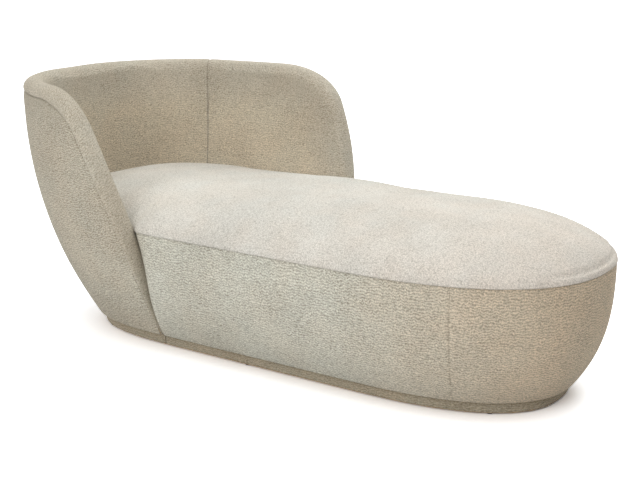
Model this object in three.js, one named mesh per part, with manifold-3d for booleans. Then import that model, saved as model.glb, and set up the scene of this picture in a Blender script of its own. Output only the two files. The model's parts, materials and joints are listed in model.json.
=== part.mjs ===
// Chaise longue: a tub-shaped back wrapped round the head end of a long domed seat.
// Millimetres. +X runs to the foot end, +Z is up, -Y is the side of the short wing.
import * as THREE from 'three';
import { mergeVertices } from 'three/addons/utils/BufferGeometryUtils.js';
import Module from 'manifold-3d';

const wasm = await Module();
wasm.setup();

// Overall sizes
const overall_length = 1750;
const overall_width = 868;
const overall_height = 727;

// Clearance between pieces that touch, and how far a cutting tool runs past a face
const fit_gap = 0.3;
const cut_overrun = 5;

// Plan outline of the base, with superellipse ends
const head_end_depth = 415;
const foot_end_depth = 467;
const head_roundness = 2.9;
const foot_roundness = 2.4;

// Plinth
const plinth_height = 38;
const plinth_setback = 21;
const plinth_board = 18;
const wrap_hem = 5;
const plinth_joint_gap = 1;
const glide_height = 3;
const glide_radius = 8;
const glide_chamfer = 1;

// Tub back: how far it flares beyond the base, and how quickly
const back_side_flare = 166;
const back_head_flare = 197;
const back_flare_bend = 2.3;
const back_wall = 68;
const rim_seam_drop = 35;
const wing_base_bulge = 5;
const wing_top_bulge = 20;
const rim_fullness = 2.3;

// Wings: reach from the head end at the base, how far each one leans back and how its top corner turns
const near_wing_reach = 567;
const near_wing_lean = 198;
const near_corner_run = 95;
const far_wing_reach = 806;
const far_wing_lean = 134;
const far_corner_run = 150;
const wing_lean_bend = 2.4;
const corner_drop = 75;
const inner_seam_reach = 275;

// Seat: side band up to the seam, then the dome
const seat_side_flare = 86;
const seat_foot_flare = 79;
const seat_flare_bend = 3;
const seat_seam_height = 355;
const head_crown_rise = 82;
const foot_crown_rise = 98;
const crown_slope_reach = 375;
const crown_slope_run = 600;
const crown_end_reach = 374;
const crown_bend = 2.7;
const crown_edge_bend = 1.5;
const tub_edge_rise = 30;
const notch_top_radius = 62;
const notch_base_radius = 8;

// Upholstery build-up
const cover_thickness = 2;
const pad_thickness = 15;
const seam_allowance = 3;
const panel_thickness = 4;
const rim_roll_depth = 30;
const roll_clearance = 1.2;

// Timber frame
const base_board = 18;
const frame_depth = 30;
const rail_width = 40;
const rib_board = 18;
const rib_ease = 0.5;
const deck_rail_width = 26;
const deck_rail_height = 40;
const rail_clearance = 45;
const rib_hole_height = 90;
const rib_hole_width = 105;

// Webbing and foam
const webbing_thickness = 2;
const webbing_width = 60;
const foam_core_thickness = 50;
const crown_pad_edge = 30;

// Link plates between the two modules
const plate_side = 40;
const plate_thickness = 3;
const screw_radius = 2.5;
const screw_head_radius = 5;
const screw_head_height = 2;
const screw_length = 14;

// Counts and shares
const half_columns = 9;
const seam_columns = 4;
const lower_rows = 3;
const corner_rows = 4;
const pad_lane_shares = [0, 0.4, 1];
const roll_lane_shares = [0.25, 0.55, 0.85, 1];
const tip_steps = 6;
const foot_seam_step = 4;
const side_steps = 3;
const notch_steps = 3;
const dome_shares = [0.03, 0.11, 0.27, 0.5, 0.9];
const tub_rise_share = 0.5;
const back_rib_columns = [2, 5, 8, 11, 14, 16];
const seat_rib_shares = [0.1, 0.3, 0.5, 0.7, 0.9];
const cross_strap_shares = [0.11, 0.24, 0.37, 0.5, 0.63, 0.76, 0.89];
const long_strap_shares = [-0.4, 0.4];
const cross_rail_shares = [0.35, 0.8];
const link_place_shares = { near: 0.14, far: 0.8 };
const glide_places = { head: 0.55, middle: 1.4, foot: 2.5 };
const round_sides = 12;
const rib_hole_sides = 5;

// Derived places
const head_end_x = -overall_length / 2;
const near_wing = {
  side: -1,
  foot_x: head_end_x + near_wing_reach,
  lean: near_wing_lean,
  corner_run: near_corner_run,
};
const far_wing = {
  side: 1,
  foot_x: head_end_x + far_wing_reach,
  lean: far_wing_lean,
  corner_run: far_corner_run,
};
const inner_seam_x = head_end_x + inner_seam_reach;
const tub_edge_height = seat_seam_height + tub_edge_rise;
const base_half_width = overall_width / 2 - back_side_flare;
const head_start_x = head_end_x + back_head_flare + head_end_depth;
const foot_start_x = overall_length / 2 - seat_foot_flare - foot_end_depth;
const rim_seam_height = overall_height - rim_seam_drop;
const base_bottom = plinth_height + fit_gap;
const base_top = base_bottom + base_board;
const body_bottom = base_top + fit_gap;
const cover_depth = cover_thickness + fit_gap;
const panel_depth = cover_depth + pad_thickness + fit_gap;
const frame_outer = panel_depth + panel_thickness + fit_gap;
const frame_inner = frame_outer + frame_depth;
const liner_depth = frame_inner + fit_gap;
const inner_pad_depth = liner_depth + panel_thickness + fit_gap;
const wall_at_base = inner_pad_depth;
const core_inset = rim_roll_depth + rail_width;
const foam_core_top = seat_seam_height - crown_pad_edge;
const core_bottom = foam_core_top - foam_core_thickness;
const strap_top = core_bottom - fit_gap;
const strap_bottom = strap_top - webbing_thickness;
const deck_height = strap_bottom - fit_gap;

const lerp = THREE.MathUtils.lerp;
const quarter_turn = Math.PI / 2;

function limit(value) {
  return THREE.MathUtils.clamp(value, 0, 1);
}

function ease(value) {
  return value * value * (3 - 2 * value);
}

function steps(count) {
  return Array.from({ length: count + 1 }, (_, index) => index / count);
}

// One end of the base outline; the share runs 0 at its tip and 1 where the straight side begins
function end_outline(start_x, depth, roundness, share, side) {
  const along = Math.cos(share * quarter_turn) ** (2 / roundness);
  const across = Math.sin(share * quarter_turn) ** (2 / roundness);
  const slope_x = along ** (roundness - 1) / depth;
  const slope_y = across ** (roundness - 1) / base_half_width;
  const size = Math.hypot(slope_x, slope_y);
  return {
    x: start_x + depth * along,
    y: side * base_half_width * across,
    nx: slope_x / size,
    ny: side * Math.abs(slope_y / size),
  };
}

// Places round the base outline, counted from the head tip and negative on the near side
const place_shares = { head_side: 1, foot_side: 2, foot_tip: 3 };

// Base outline and its outward normal at a place
function outline(place) {
  const side = place < 0 ? -1 : 1;
  const way = Math.abs(place);
  if (way > place_shares.foot_side) {
    return end_outline(foot_start_x, foot_end_depth, foot_roundness, place_shares.foot_tip - way, side);
  }
  if (way < place_shares.head_side) {
    const end = end_outline(0, head_end_depth, head_roundness, way, side);
    return { x: head_start_x - end.x, y: end.y, nx: -end.nx, ny: end.ny };
  }
  const x = lerp(head_start_x, foot_start_x, way - place_shares.head_side);
  return { x, y: side * base_half_width, nx: 0, ny: side };
}

function offset_point(base, distance, height) {
  return new THREE.Vector3(base.x + base.nx * distance, base.y + base.ny * distance, height);
}

// Tub back surface at a depth inside its outer face
function back_point(place, height, depth) {
  const base = outline(place);
  const rise = limit((height - plinth_height) / (rim_seam_height - plinth_height));
  const reach = back_side_flare * base.ny ** 2 + back_head_flare * base.nx ** 2;
  return offset_point(base, reach * (1 - (1 - rise) ** back_flare_bend) - depth, height);
}

// Seat band surface at a depth inside its outer face
function seat_point(place, height, depth) {
  const base = outline(place);
  const rise = limit((height - plinth_height) / (seat_seam_height - plinth_height));
  const reach = seat_side_flare * base.ny ** 2 + seat_foot_flare * base.nx ** 2;
  return offset_point(base, reach * (1 - (1 - rise) ** seat_flare_bend) - depth, height);
}

// Place on one side where a surface crosses a given x
function place_at(surface, side, x, height, depth) {
  let low = 0;
  let high = place_shares.foot_tip;
  for (let turn = 0; turn < 40; turn += 1) {
    const middle = (low + high) / 2;
    if (surface(side * middle, height, depth).x < x) {
      low = middle;
    } else {
      high = middle;
    }
  }
  return side * low;
}

// Thickness of the tub wall: full above the seat, down to the bare frame at the base
function wall_at(height) {
  return lerp(wall_at_base, back_wall, limit((height - plinth_height) / (tub_edge_height - plinth_height)));
}

// Front edge of a wing: it leans back as it rises and turns over at the top corner
function wing_edge_x(wing, height) {
  const rise = (height - plinth_height) / (rim_seam_height - plinth_height);
  const turn = limit((height - rim_seam_height + corner_drop) / corner_drop);
  return wing.foot_x - wing.lean * rise ** wing_lean_bend - wing.corner_run * (1 - Math.sqrt(1 - turn ** 2));
}

// How far the rounded front of a wing stands out: more as it rises, and as much as the rim at the top
function wing_bulge(height) {
  const corner = rim_seam_height - corner_drop;
  const rise = limit((height - plinth_height) / (corner - plinth_height));
  const turned = ease(limit((height - corner) / corner_drop));
  return lerp(lerp(wing_base_bulge, wing_top_bulge, rise), rim_seam_drop, turned);
}

function wing_place(wing, height, inset) {
  return place_at(back_point, wing.side, wing_edge_x(wing, height + inset) - inset, height, 0);
}

function evenly(from, to, count) {
  return steps(count).map((share) => lerp(from, to, share));
}

// Heights that the rows of all layers share, so that the layers nest
const seat_heights = [base_bottom, ...evenly(body_bottom, core_bottom, lower_rows), foam_core_top];
const corner_start = rim_seam_height - core_inset - corner_drop;
const wall_middle = (tub_edge_height + corner_start) / 2;
const wall_heights = [...seat_heights, seat_seam_height, tub_edge_height, wall_middle];
const base_rows = 1;
const pad_row = base_rows + lower_rows;

// Heights of the rows of the back at an inset from its edge, closer together round the top corner
function row_heights(inset) {
  const corner = rim_seam_height - inset - corner_drop;
  const turn = steps(corner_rows).map((share) => corner + corner_drop * Math.sin(share * quarter_turn));
  return [...wall_heights, ...turn];
}

const seam_place = place_at(back_point, far_wing.side, inner_seam_x, rim_seam_height, back_wall);

// One row of spots on the back, from the near wing past the head tip and the inner seam to the far wing
function back_row(height, inset) {
  const start = wing_place(near_wing, height, inset);
  const end = wing_place(far_wing, height, inset);
  const places = [
    ...evenly(start, 0, half_columns),
    ...evenly(0, seam_place, seam_columns).slice(1),
    ...evenly(seam_place, end, half_columns - seam_columns).slice(1),
  ];
  return places.map((place) => ({ place, height }));
}

function back_lattice(first_row, inset) {
  return row_heights(inset).slice(first_row).map((height) => back_row(height, inset));
}

// Left side, top and right side of a grid, in walking order
function grid_rim(grid) {
  const left = grid.map((row) => row[0]);
  const right = grid.map((row) => row[row.length - 1]).reverse();
  const top = grid[grid.length - 1];
  return [...left, ...top.slice(1, -1), ...right];
}

// Point of a spot on the back at a depth, which may depend on the height
function spot_point(spot, depth_of) {
  return back_point(spot.place, spot.height, depth_of(spot.height));
}

// Rim spots with the direction that leads off the edge and the height of the rounded crown
function rim_path(first_row) {
  const walk = grid_rim(back_lattice(first_row, 0));
  return walk.map((spot, index) => {
    const before = walk[Math.max(index - 1, 0)];
    const after = walk[Math.min(index + 1, walk.length - 1)];
    const along = back_point(after.place, after.height, 0).sub(back_point(before.place, before.height, 0));
    const base = outline(spot.place);
    const off_edge = along.cross(new THREE.Vector3(base.nx, base.ny, 0)).normalize();
    return { ...spot, off_edge, crown: wing_bulge(spot.height) };
  });
}

// Point on the rounded rim, across the wall, at a distance inside its skin
function rim_point(spot, depth, skin) {
  const half_width = wall_at(spot.height) / 2 - skin;
  const across = Math.abs((depth - skin) / half_width - 1);
  const swell = Math.max(1 - across ** rim_fullness, 0) ** (1 / rim_fullness);
  const lift = fit_gap + (spot.crown - fit_gap - skin) * swell;
  return back_point(spot.place, spot.height, depth).addScaledVector(spot.off_edge, lift);
}

// Depth across the wall at a skin: the pad lanes lie over the outer pad, the others over the roll
function lane_depths(spot, skin) {
  const span = wall_at(spot.height) - 2 * cover_depth;
  const pad_share = pad_thickness / span;
  const shares = [
    ...pad_lane_shares.map((share) => share * pad_share),
    ...roll_lane_shares.map((share) => lerp(pad_share, 1, share)),
  ];
  return shares.map((share) => skin + share * (wall_at(spot.height) - 2 * skin));
}

// A closed body from points and faces, turned so that its faces point out
function body_from(points, faces) {
  const geometry = new THREE.BufferGeometry();
  const numbers = points.flatMap((p) => [p.x, p.y, p.z]);
  geometry.setAttribute('position', new THREE.Float32BufferAttribute(numbers, 3));
  const centre = points[0];
  let volume = 0;
  for (const [a, b, c] of faces) {
    const [one, two, three] = [a, b, c].map((index) => points[index].clone().sub(centre));
    volume += one.dot(two.cross(three));
  }
  const turned = volume < 0 ? faces.map(([a, b, c]) => [a, c, b]) : faces;
  geometry.setIndex(turned.flat());
  return geometry;
}

function quad(faces, a, b, c, d) {
  faces.push([a, b, c], [a, c, d]);
}

// A quad whose other diagonal is taken on the far half of a strip, so that both faces of a layer match
function strip_quad(faces, [a, b, c, d], flipped) {
  if (flipped) {
    quad(faces, b, c, d, a);
  } else {
    quad(faces, a, b, c, d);
  }
}

// A closed body between an outer and an inner grid; lanes of rim points may bulge between their rims
function between(outer, inner, lanes = []) {
  const rows = outer.length;
  const columns = outer[0].length;
  const points = [...outer.flat(), ...inner.flat(), ...lanes.flat()];
  const faces = [];
  const front = (row, column) => row * columns + column;
  const back = (row, column) => rows * columns + front(row, column);
  for (let row = 0; row < rows - 1; row += 1) {
    for (let column = 0; column < columns - 1; column += 1) {
      const next = row + 1;
      quad(faces, front(row, column), front(row, column + 1), front(next, column + 1), front(next, column));
      quad(faces, back(row, column), back(row + 1, column), back(row + 1, column + 1), back(row, column + 1));
    }
  }
  for (let column = 0; column < columns - 1; column += 1) {
    quad(faces, front(0, column + 1), front(0, column), back(0, column), back(0, column + 1));
  }
  const path = grid_rim(outer.map((line, row) => line.map((_, column) => [row, column])));
  const chain = [
    path.map(([row, column]) => front(row, column)),
    ...lanes.map((lane, index) => lane.map((_, spot) => 2 * rows * columns + index * path.length + spot)),
    path.map(([row, column]) => back(row, column)),
  ];
  const last = path.length - 1;
  for (let lane = 0; lane < chain.length - 1; lane += 1) {
    const [one, two] = [chain[lane], chain[lane + 1]];
    for (let spot = 0; spot < last; spot += 1) {
      strip_quad(faces, [one[spot], one[spot + 1], two[spot + 1], two[spot]], lane >= (chain.length - 1) / 2);
    }
    if (lane > 0) {
      faces.push([chain[0][0], one[0], two[0]], [chain[0][last], two[last], one[last]]);
    }
  }
  return body_from(points, faces);
}

// A closed body between two faces that share their triangles, closed along their common edge
function thickened(front, back, faces) {
  const count = front.length;
  const edges = new Set(faces.flatMap(([a, b, c]) => [`${a} ${b}`, `${b} ${c}`, `${c} ${a}`]));
  const solid = [...faces, ...faces.map(([a, b, c]) => [a + count, c + count, b + count])];
  for (const edge of edges) {
    const [from, to] = edge.split(' ').map(Number);
    if (!edges.has(`${to} ${from}`)) {
      quad(solid, to, from, from + count, to + count);
    }
  }
  return body_from([...front, ...back], solid);
}

// Faces that close a ring of points from side to side, from its first point to the one opposite
function cap_faces(start, count) {
  const faces = [];
  for (let spot = 0; spot < count / 2; spot += 1) {
    const near = start + spot;
    const far = start + (count - spot) % count;
    const far_next = start + count - spot - 1;
    faces.push([near, near + 1, far_next], [near, far_next, far]);
  }
  return faces.filter(([a, b, c]) => a !== b && b !== c && c !== a);
}

// A closed body through a stack of closed rings, with the diagonals turned where another layer needs it
function stack(rings, turned_at = () => false) {
  const count = rings[0].length;
  const faces = cap_faces(0, count).map(([a, b, c]) => [a, c, b]);
  for (let ring = 0; ring < rings.length - 1; ring += 1) {
    const low = ring * count;
    for (let spot = 0; spot < count; spot += 1) {
      const next = (spot + 1) % count;
      const corners = [low + spot, low + next, low + count + next, low + count + spot];
      strip_quad(faces, corners, turned_at(ring, spot));
    }
  }
  faces.push(...cap_faces((rings.length - 1) * count, count));
  return body_from(rings.flat(), faces);
}

function box(x_from, x_to, y_from, y_to, z_from, z_to) {
  const geometry = new THREE.BoxGeometry(x_to - x_from, y_to - y_from, z_to - z_from);
  return geometry.translate((x_from + x_to) / 2, (y_from + y_to) / 2, (z_from + z_to) / 2);
}

// Round turned piece standing on a point, from its half profile
function turned(profile, x, y, z) {
  const outline_points = profile.map(([radius, height]) => new THREE.Vector2(radius, height));
  return new THREE.LatheGeometry(outline_points, round_sides).rotateX(quarter_turn).translate(x, y, z);
}

// Geometry with its shared points merged and its empty faces dropped
function merged(geometry) {
  const bare = geometry.clone();
  bare.deleteAttribute('normal');
  bare.deleteAttribute('uv');
  const joined = mergeVertices(bare, fit_gap / 100);
  const index = Array.from(joined.index.array);
  const kept = [];
  for (let face = 0; face < index.length; face += 3) {
    const [a, b, c] = index.slice(face, face + 3);
    if (a !== b && b !== c && c !== a) {
      kept.push(a, b, c);
    }
  }
  joined.setIndex(kept);
  return joined;
}

function to_manifold(geometry) {
  const clean = merged(geometry);
  return new wasm.Manifold(new wasm.Mesh({
    numProp: 3,
    vertProperties: new Float32Array(clean.attributes.position.array),
    triVerts: new Uint32Array(clean.index.array),
  }));
}

function from_manifold(manifold) {
  const mesh = manifold.getMesh();
  const geometry = new THREE.BufferGeometry();
  geometry.setAttribute('position', new THREE.BufferAttribute(mesh.vertProperties, 3));
  geometry.setIndex(new THREE.BufferAttribute(mesh.triVerts, 1));
  return geometry;
}

function cut(geometry, tools) {
  return from_manifold(tools.reduce((left, tool) => left.subtract(to_manifold(tool)), to_manifold(geometry)));
}

function join(geometries) {
  const [first, ...others] = geometries.map(to_manifold);
  return from_manifold(others.reduce((sum, other) => sum.add(other), first));
}

// Materials
function fabric() {
  return new THREE.MeshStandardMaterial({ color: 0xc3b9a5, roughness: 0.95, metalness: 0 });
}

function foam() {
  return new THREE.MeshStandardMaterial({ color: 0xe9dfc0, roughness: 0.9, metalness: 0 });
}

function plywood() {
  return new THREE.MeshStandardMaterial({ color: 0xc9a678, roughness: 0.7, metalness: 0 });
}

function timber() {
  return new THREE.MeshStandardMaterial({ color: 0xb98f5e, roughness: 0.7, metalness: 0 });
}

function webbing() {
  return new THREE.MeshStandardMaterial({ color: 0x3b3a38, roughness: 0.9, metalness: 0 });
}

function plastic() {
  return new THREE.MeshStandardMaterial({ color: 0x26262a, roughness: 0.5, metalness: 0 });
}

function steel() {
  return new THREE.MeshStandardMaterial({ color: 0xb4b7bb, roughness: 0.35, metalness: 1 });
}

const chaise = new THREE.Group();

function add(name, geometry, material) {
  const mesh = new THREE.Mesh(geometry, material);
  mesh.name = name;
  chaise.add(mesh);
}

// Half a clearance, as a share of one end of the outline, for pieces that meet at its tip
function tip_share(roundness) {
  return Math.asin((fit_gap / 2 / base_half_width) ** (roundness / 2)) / quarter_turn;
}

const head_tip = tip_share(head_roundness);
const straight_gap = fit_gap / (foot_start_x - head_start_x);
const foot_gap = fit_gap / 2 / (foot_end_depth + base_half_width);

// A layer of the back between two depths, out to the given insets from its edge, with crown lanes on its rim
function back_layer(first_row, outer_depth, inner_depth, insets, crown = []) {
  const face = (depth_of) => (
    back_lattice(first_row, core_inset).map((row) => row.map((spot) => spot_point(spot, depth_of)))
  );
  const ring = (inset, depth_of) => (
    grid_rim(back_lattice(first_row, inset)).map((spot) => spot_point(spot, depth_of))
  );
  const lanes = [
    ...insets.map((inset) => ring(inset, outer_depth)),
    ...crown,
    ...[...insets].reverse().map((inset) => ring(inset, inner_depth)),
  ];
  return between(face(outer_depth), face(inner_depth), lanes);
}

// The near and the far part of a layer, cut apart in the upright plane of a place
function split_at(geometry, place) {
  const base = outline(place);
  const slab = box(-back_wall - cut_overrun, overall_width, -fit_gap / 2, fit_gap / 2, 0, overall_height);
  slab.applyMatrix4(new THREE.Matrix4().makeRotationZ(Math.atan2(base.ny, base.nx)));
  slab.translate(base.x, base.y, 0);
  const parts = to_manifold(geometry).subtract(to_manifold(slab)).decompose();
  return parts.map(from_manifold).sort((one, other) => middle_y(one) - middle_y(other));
}

function middle_y(geometry) {
  geometry.computeBoundingBox();
  return geometry.boundingBox.min.y + geometry.boundingBox.max.y;
}

// Near and far half of a piece that is joined at the middle of the head end
function add_halves(name, geometry, material) {
  const [near_half, far_half] = split_at(geometry, 0);
  add(`${name}_near`, near_half, material());
  add(`${name}_far`, far_half, material());
}

const to_edge = [rim_roll_depth, 0];
const to_roll = [rim_roll_depth];

// Outer cover and the pad under it, which rises into the rounded rim
function make_back_outside() {
  add('back_outer_cover', back_layer(0, () => 0, () => cover_thickness, to_edge), fabric());
  const path = rim_path(base_rows);
  const crown = pad_lane_shares.slice(1).map((_, lane) => (
    path.map((spot) => rim_point(spot, lane_depths(spot, cover_depth)[lane + 1], cover_depth))
  ));
  const pad_inner = cover_depth + pad_thickness;
  const pad = back_layer(base_rows, () => cover_depth, () => pad_inner, to_edge, crown);
  add_halves('back_outer_pad', pad, foam);
}

// The roll of foam under the rim, section by section along it
function make_rim_roll() {
  const path = rim_path(base_rows);
  const under_path = grid_rim(back_lattice(base_rows, rim_roll_depth - roll_clearance));
  const sections = path.map((spot, index) => {
    const low = under_path[index];
    const lanes = lane_depths(spot, cover_depth).slice(pad_lane_shares.length);
    const depths = [panel_depth, ...lanes];
    const crown = depths.map((depth) => rim_point(spot, depth, cover_depth));
    const inner = wall_at(spot.height) - cover_depth;
    const low_inner = wall_at(low.height) - cover_depth;
    const under = depths.map((depth) => {
      const share = (depth - panel_depth) / (inner - panel_depth);
      return back_point(low.place, low.height, lerp(panel_depth, low_inner, share));
    });
    const sides = [panel_depth, inner].map((depth) => back_point(spot.place, spot.height, depth));
    return [sides[0], ...crown, sides[1], ...under.reverse()];
  });
  const count = sections[0].length;
  const roll = stack(sections, (_, spot) => spot >= count / 2 && spot < count - 1);
  add_halves('back_rim_roll', roll, foam);
}

// One face of the inner cover at a skin: inside the tub, then the lanes over the rim and down both wings
function inner_face(skin) {
  const inside = (spot) => spot_point(spot, (height) => wall_at(height) - skin);
  const core = back_lattice(pad_row, core_inset).map((row) => row.map(inside));
  const ring = grid_rim(back_lattice(pad_row, rim_roll_depth)).map(inside);
  const lanes = (spot) => lane_depths(spot, skin).map((depth) => rim_point(spot, depth, skin));
  const over = rim_path(0).map(lanes);
  return { core, ring, over };
}

// Inner covers, which carry on over the rim to the outer seam, with a sewn seam at the far corner of the tub
function make_inner_covers() {
  const front = inner_face(0);
  const back = inner_face(cover_thickness);
  const [columns, lanes] = [front.core[0].length, front.over[0].length];
  const core_rim = grid_rim(front.core.map((row, r) => row.map((_, c) => r * columns + c)));
  const ring_start = front.core.length * columns;
  const over_start = ring_start + front.ring.length;
  const over = (spot, lane) => over_start + spot * lanes + lane;
  const faces = [];
  for (let row = 0; row < front.core.length - 1; row += 1) {
    for (let low = row * columns; low < (row + 1) * columns - 1; low += 1) {
      quad(faces, low, low + 1, low + columns + 1, low + columns);
    }
  }
  for (let spot = 0; spot < front.ring.length - 1; spot += 1) {
    const ring = ring_start + spot;
    const edge = pad_row + spot;
    quad(faces, core_rim[spot], core_rim[spot + 1], ring + 1, ring);
    quad(faces, ring, ring + 1, over(edge + 1, lanes - 1), over(edge, lanes - 1));
  }
  for (let spot = 0; spot < front.over.length - 1; spot += 1) {
    for (let lane = 0; lane < lanes - 1; lane += 1) {
      quad(faces, over(spot, lane), over(spot, lane + 1), over(spot + 1, lane + 1), over(spot + 1, lane));
    }
  }
  const points = (face) => [...face.core.flat(), ...face.ring, ...face.over.flat()];
  const [near_cover, far_cover] = split_at(thickened(points(front), points(back), faces), seam_place);
  add('back_inner_cover_near', near_cover, fabric());
  add('back_inner_cover_far', far_cover, fabric());
}

// Pads inside the tub, cut at the middle of the head end and at the sewn seam
function make_inner_pads() {
  const pad = back_layer(pad_row, () => inner_pad_depth, (height) => wall_at(height) - cover_depth, to_roll);
  const [long_pad, far_pad] = split_at(pad, seam_place);
  const [near_pad, head_pad] = split_at(long_pad, 0);
  add('back_inner_pad_near', near_pad, foam());
  add('back_inner_pad_head', head_pad, foam());
  add('back_inner_pad_far', far_pad, foam());
}

// Bent panels on both faces of the back frame
function make_back_panels() {
  for (const [face, depth] of Object.entries({ outer: panel_depth, inner: liner_depth })) {
    const panel = back_layer(base_rows, () => depth, () => depth + panel_thickness, to_roll);
    add(`back_${face}_panel`, panel, plywood());
  }
}

// Upright ribs of the back frame, which lean with the wings and stop under the top rail
function make_back_ribs() {
  const rows = back_lattice(base_rows, core_inset);
  const last = rows.length - 1;
  rows[last] = rows[last].map((spot) => ({ ...spot, height: spot.height - fit_gap }));
  back_rib_columns.forEach((column, index) => {
    const face = (depth) => rows.map((row) => {
      const [before, middle, after] = [-1, 0, 1].map((step) => spot_point(row[column + step], () => depth));
      const reach = rib_board / 2;
      const toward = (next) => middle.clone().lerp(next, reach / middle.distanceTo(next));
      return [toward(before), middle, toward(after)];
    });
    const rib = between(face(frame_outer + rib_ease), face(frame_inner - rib_ease));
    add(`back_rib_${index + 1}`, rib, plywood());
  });
}

// Posts of the wings and the top rail between them, which follow the edge of the back
function make_back_rails() {
  const edges = [core_inset, rim_roll_depth];
  const strip = (rows) => {
    const face = (depth) => rows.map((row) => row.map((spot) => spot_point(spot, () => depth)));
    return between(face(frame_outer), face(frame_inner));
  };
  const post_rows = wall_heights.length - base_rows;
  const rims = edges.map((inset) => grid_rim(back_lattice(base_rows, inset)));
  const lowered = (wing, spot, inset) => {
    const height = spot.height - fit_gap;
    return { height, place: wing_place(wing, height, inset) };
  };
  const near = rims.map((rim, index) => (
    [...rim.slice(0, post_rows), lowered(near_wing, rim[post_rows], edges[index])]
  ));
  const far = rims.map((rim, index) => (
    [lowered(far_wing, rim[rim.length - 1 - post_rows], edges[index]), ...rim.slice(-post_rows)]
  ));
  add('back_near_wing_post', strip(near), timber());
  add('back_far_wing_post', strip(far), timber());
  add('back_top_rail', strip(rims.map((rim) => rim.slice(post_rows, -post_rows))), timber());
}

// Columns round half the seat, from the foot tip to the head tip
const seat_columns = [
  ...steps(tip_steps).map((share) => ({ zone: 'tip', share })),
  ...steps(side_steps).slice(1).map((share) => ({ zone: 'side', share })),
  ...steps(notch_steps).slice(1).map((share) => ({ zone: 'notch', share })),
  ...steps(half_columns + 2).slice(1).map((_, index) => ({ zone: 'tub', index })),
];

// Places between a wing and the head tip that match the columns of the back's layers
function tub_places(wing, height) {
  const row = back_row(height, core_inset).map((spot) => spot.place);
  const half = wing.side < 0 ? row.slice(0, half_columns + 1) : row.slice(half_columns).reverse();
  return [wing_place(wing, height, rim_roll_depth), ...half];
}

// Point on the upright face of the seat: foot end, free side, rounded notch and the part in the tub
function seat_side_point(wing, column, height, depth) {
  const rise = limit((height - plinth_height) / (seat_seam_height - plinth_height));
  const face_x = wing_edge_x(wing, height) + wing_bulge(height) + fit_gap + depth;
  const corner_x = face_x + lerp(notch_base_radius, notch_top_radius, rise);
  if (column.zone === 'tip') {
    return seat_point(wing.side * (place_shares.foot_tip - column.share), height, depth);
  }
  const corner_place = place_at(seat_point, wing.side, corner_x, height, depth);
  if (column.zone === 'side') {
    return seat_point(lerp(place_shares.foot_side * wing.side, corner_place, column.share), height, depth);
  }
  const wall_depth = wall_at(height) + fit_gap + depth;
  const wall_place = place_at(back_point, wing.side, face_x, height, wall_depth);
  if (column.zone === 'tub') {
    return back_point(tub_places(wing, height)[column.index], height, wall_depth);
  }
  const outer = seat_point(corner_place, height, depth);
  const inner = back_point(wall_place, height, wall_depth);
  const angle = column.share * quarter_turn;
  const x = outer.x + (inner.x - outer.x) * Math.sin(angle);
  const y = inner.y + (outer.y - inner.y) * Math.cos(angle);
  return new THREE.Vector3(x, y, height);
}

// Height of the seat's edge: the seam outside, rising from each wing towards the head inside the tub
function edge_height(column) {
  if (column.zone === 'tub') {
    const way = column.index / (half_columns + 1);
    return lerp(seat_seam_height, tub_edge_height, ease(limit(way / tub_rise_share)));
  }
  return seat_seam_height;
}

// Closed ring round the seat: the near side from foot to head, then the far side back
function seat_ring(height_of, depth) {
  const half = (wing, columns) => columns.map((column) => (
    seat_side_point(wing, column, height_of(column), depth)
  ));
  const return_columns = seat_columns.slice(1, -1).reverse();
  return [...half(near_wing, seat_columns), ...half(far_wing, return_columns)];
}

// Height of the crown along the middle line: a little lower inside the tub
function crown_height(x) {
  const share = ease(limit((x - head_end_x - crown_slope_reach) / crown_slope_run));
  return seat_seam_height + lerp(head_crown_rise, foot_crown_rise, share);
}

// Ring of the dome, part of the way from the edge to the middle line of the seat
function dome_ring(share, drop) {
  const middle_head_x = head_end_x + back_wall + overall_width / 2;
  const middle_foot_x = overall_length / 2 - crown_end_reach;
  const edge = seat_ring(edge_height, 0);
  const swell = (1 - (1 - share) ** crown_bend) ** (1 / crown_edge_bend);
  return edge.map((point) => {
    const x = lerp(point.x, THREE.MathUtils.clamp(point.x, middle_head_x, middle_foot_x), share);
    const height = lerp(point.z, crown_height(x), swell) - drop;
    return new THREE.Vector3(x, point.y * (1 - share), height);
  });
}

// Domed top cover, with its perimeter seam at the edge
function make_seat_top() {
  const dome = (drop) => dome_shares.map((share) => dome_ring(share, drop));
  const edge = (drop, depth) => seat_ring((column) => edge_height(column) - drop, depth);
  const cover = [...dome(cover_thickness).reverse(), edge(cover_thickness, 0), edge(0, 0), ...dome(0)];
  add('seat_top_cover', stack(cover, (ring) => ring < dome_shares.length), fabric());
  const flat = () => foam_core_top + fit_gap;
  const pad_edge = edge(cover_depth + seam_allowance, cover_depth);
  add('seat_crown_pad', stack([seat_ring(flat, cover_depth), pad_edge, ...dome(cover_depth)]), foam());
  const core = [core_bottom, foam_core_top].map((height) => seat_ring(() => height, cover_depth));
  add('seat_foam_core', stack(core), foam());
}

// Grid on the upright face of the seat, along given columns of the near and the far side
function band_grid(parts, heights_of, depth) {
  const tracks = parts.flatMap(([wing, columns]) => columns.map((column) => (
    heights_of(column).map((height) => seat_side_point(wing, column, height, depth))
  )));
  return tracks[0].map((_, row) => tracks.map((track) => track[row]));
}

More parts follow.
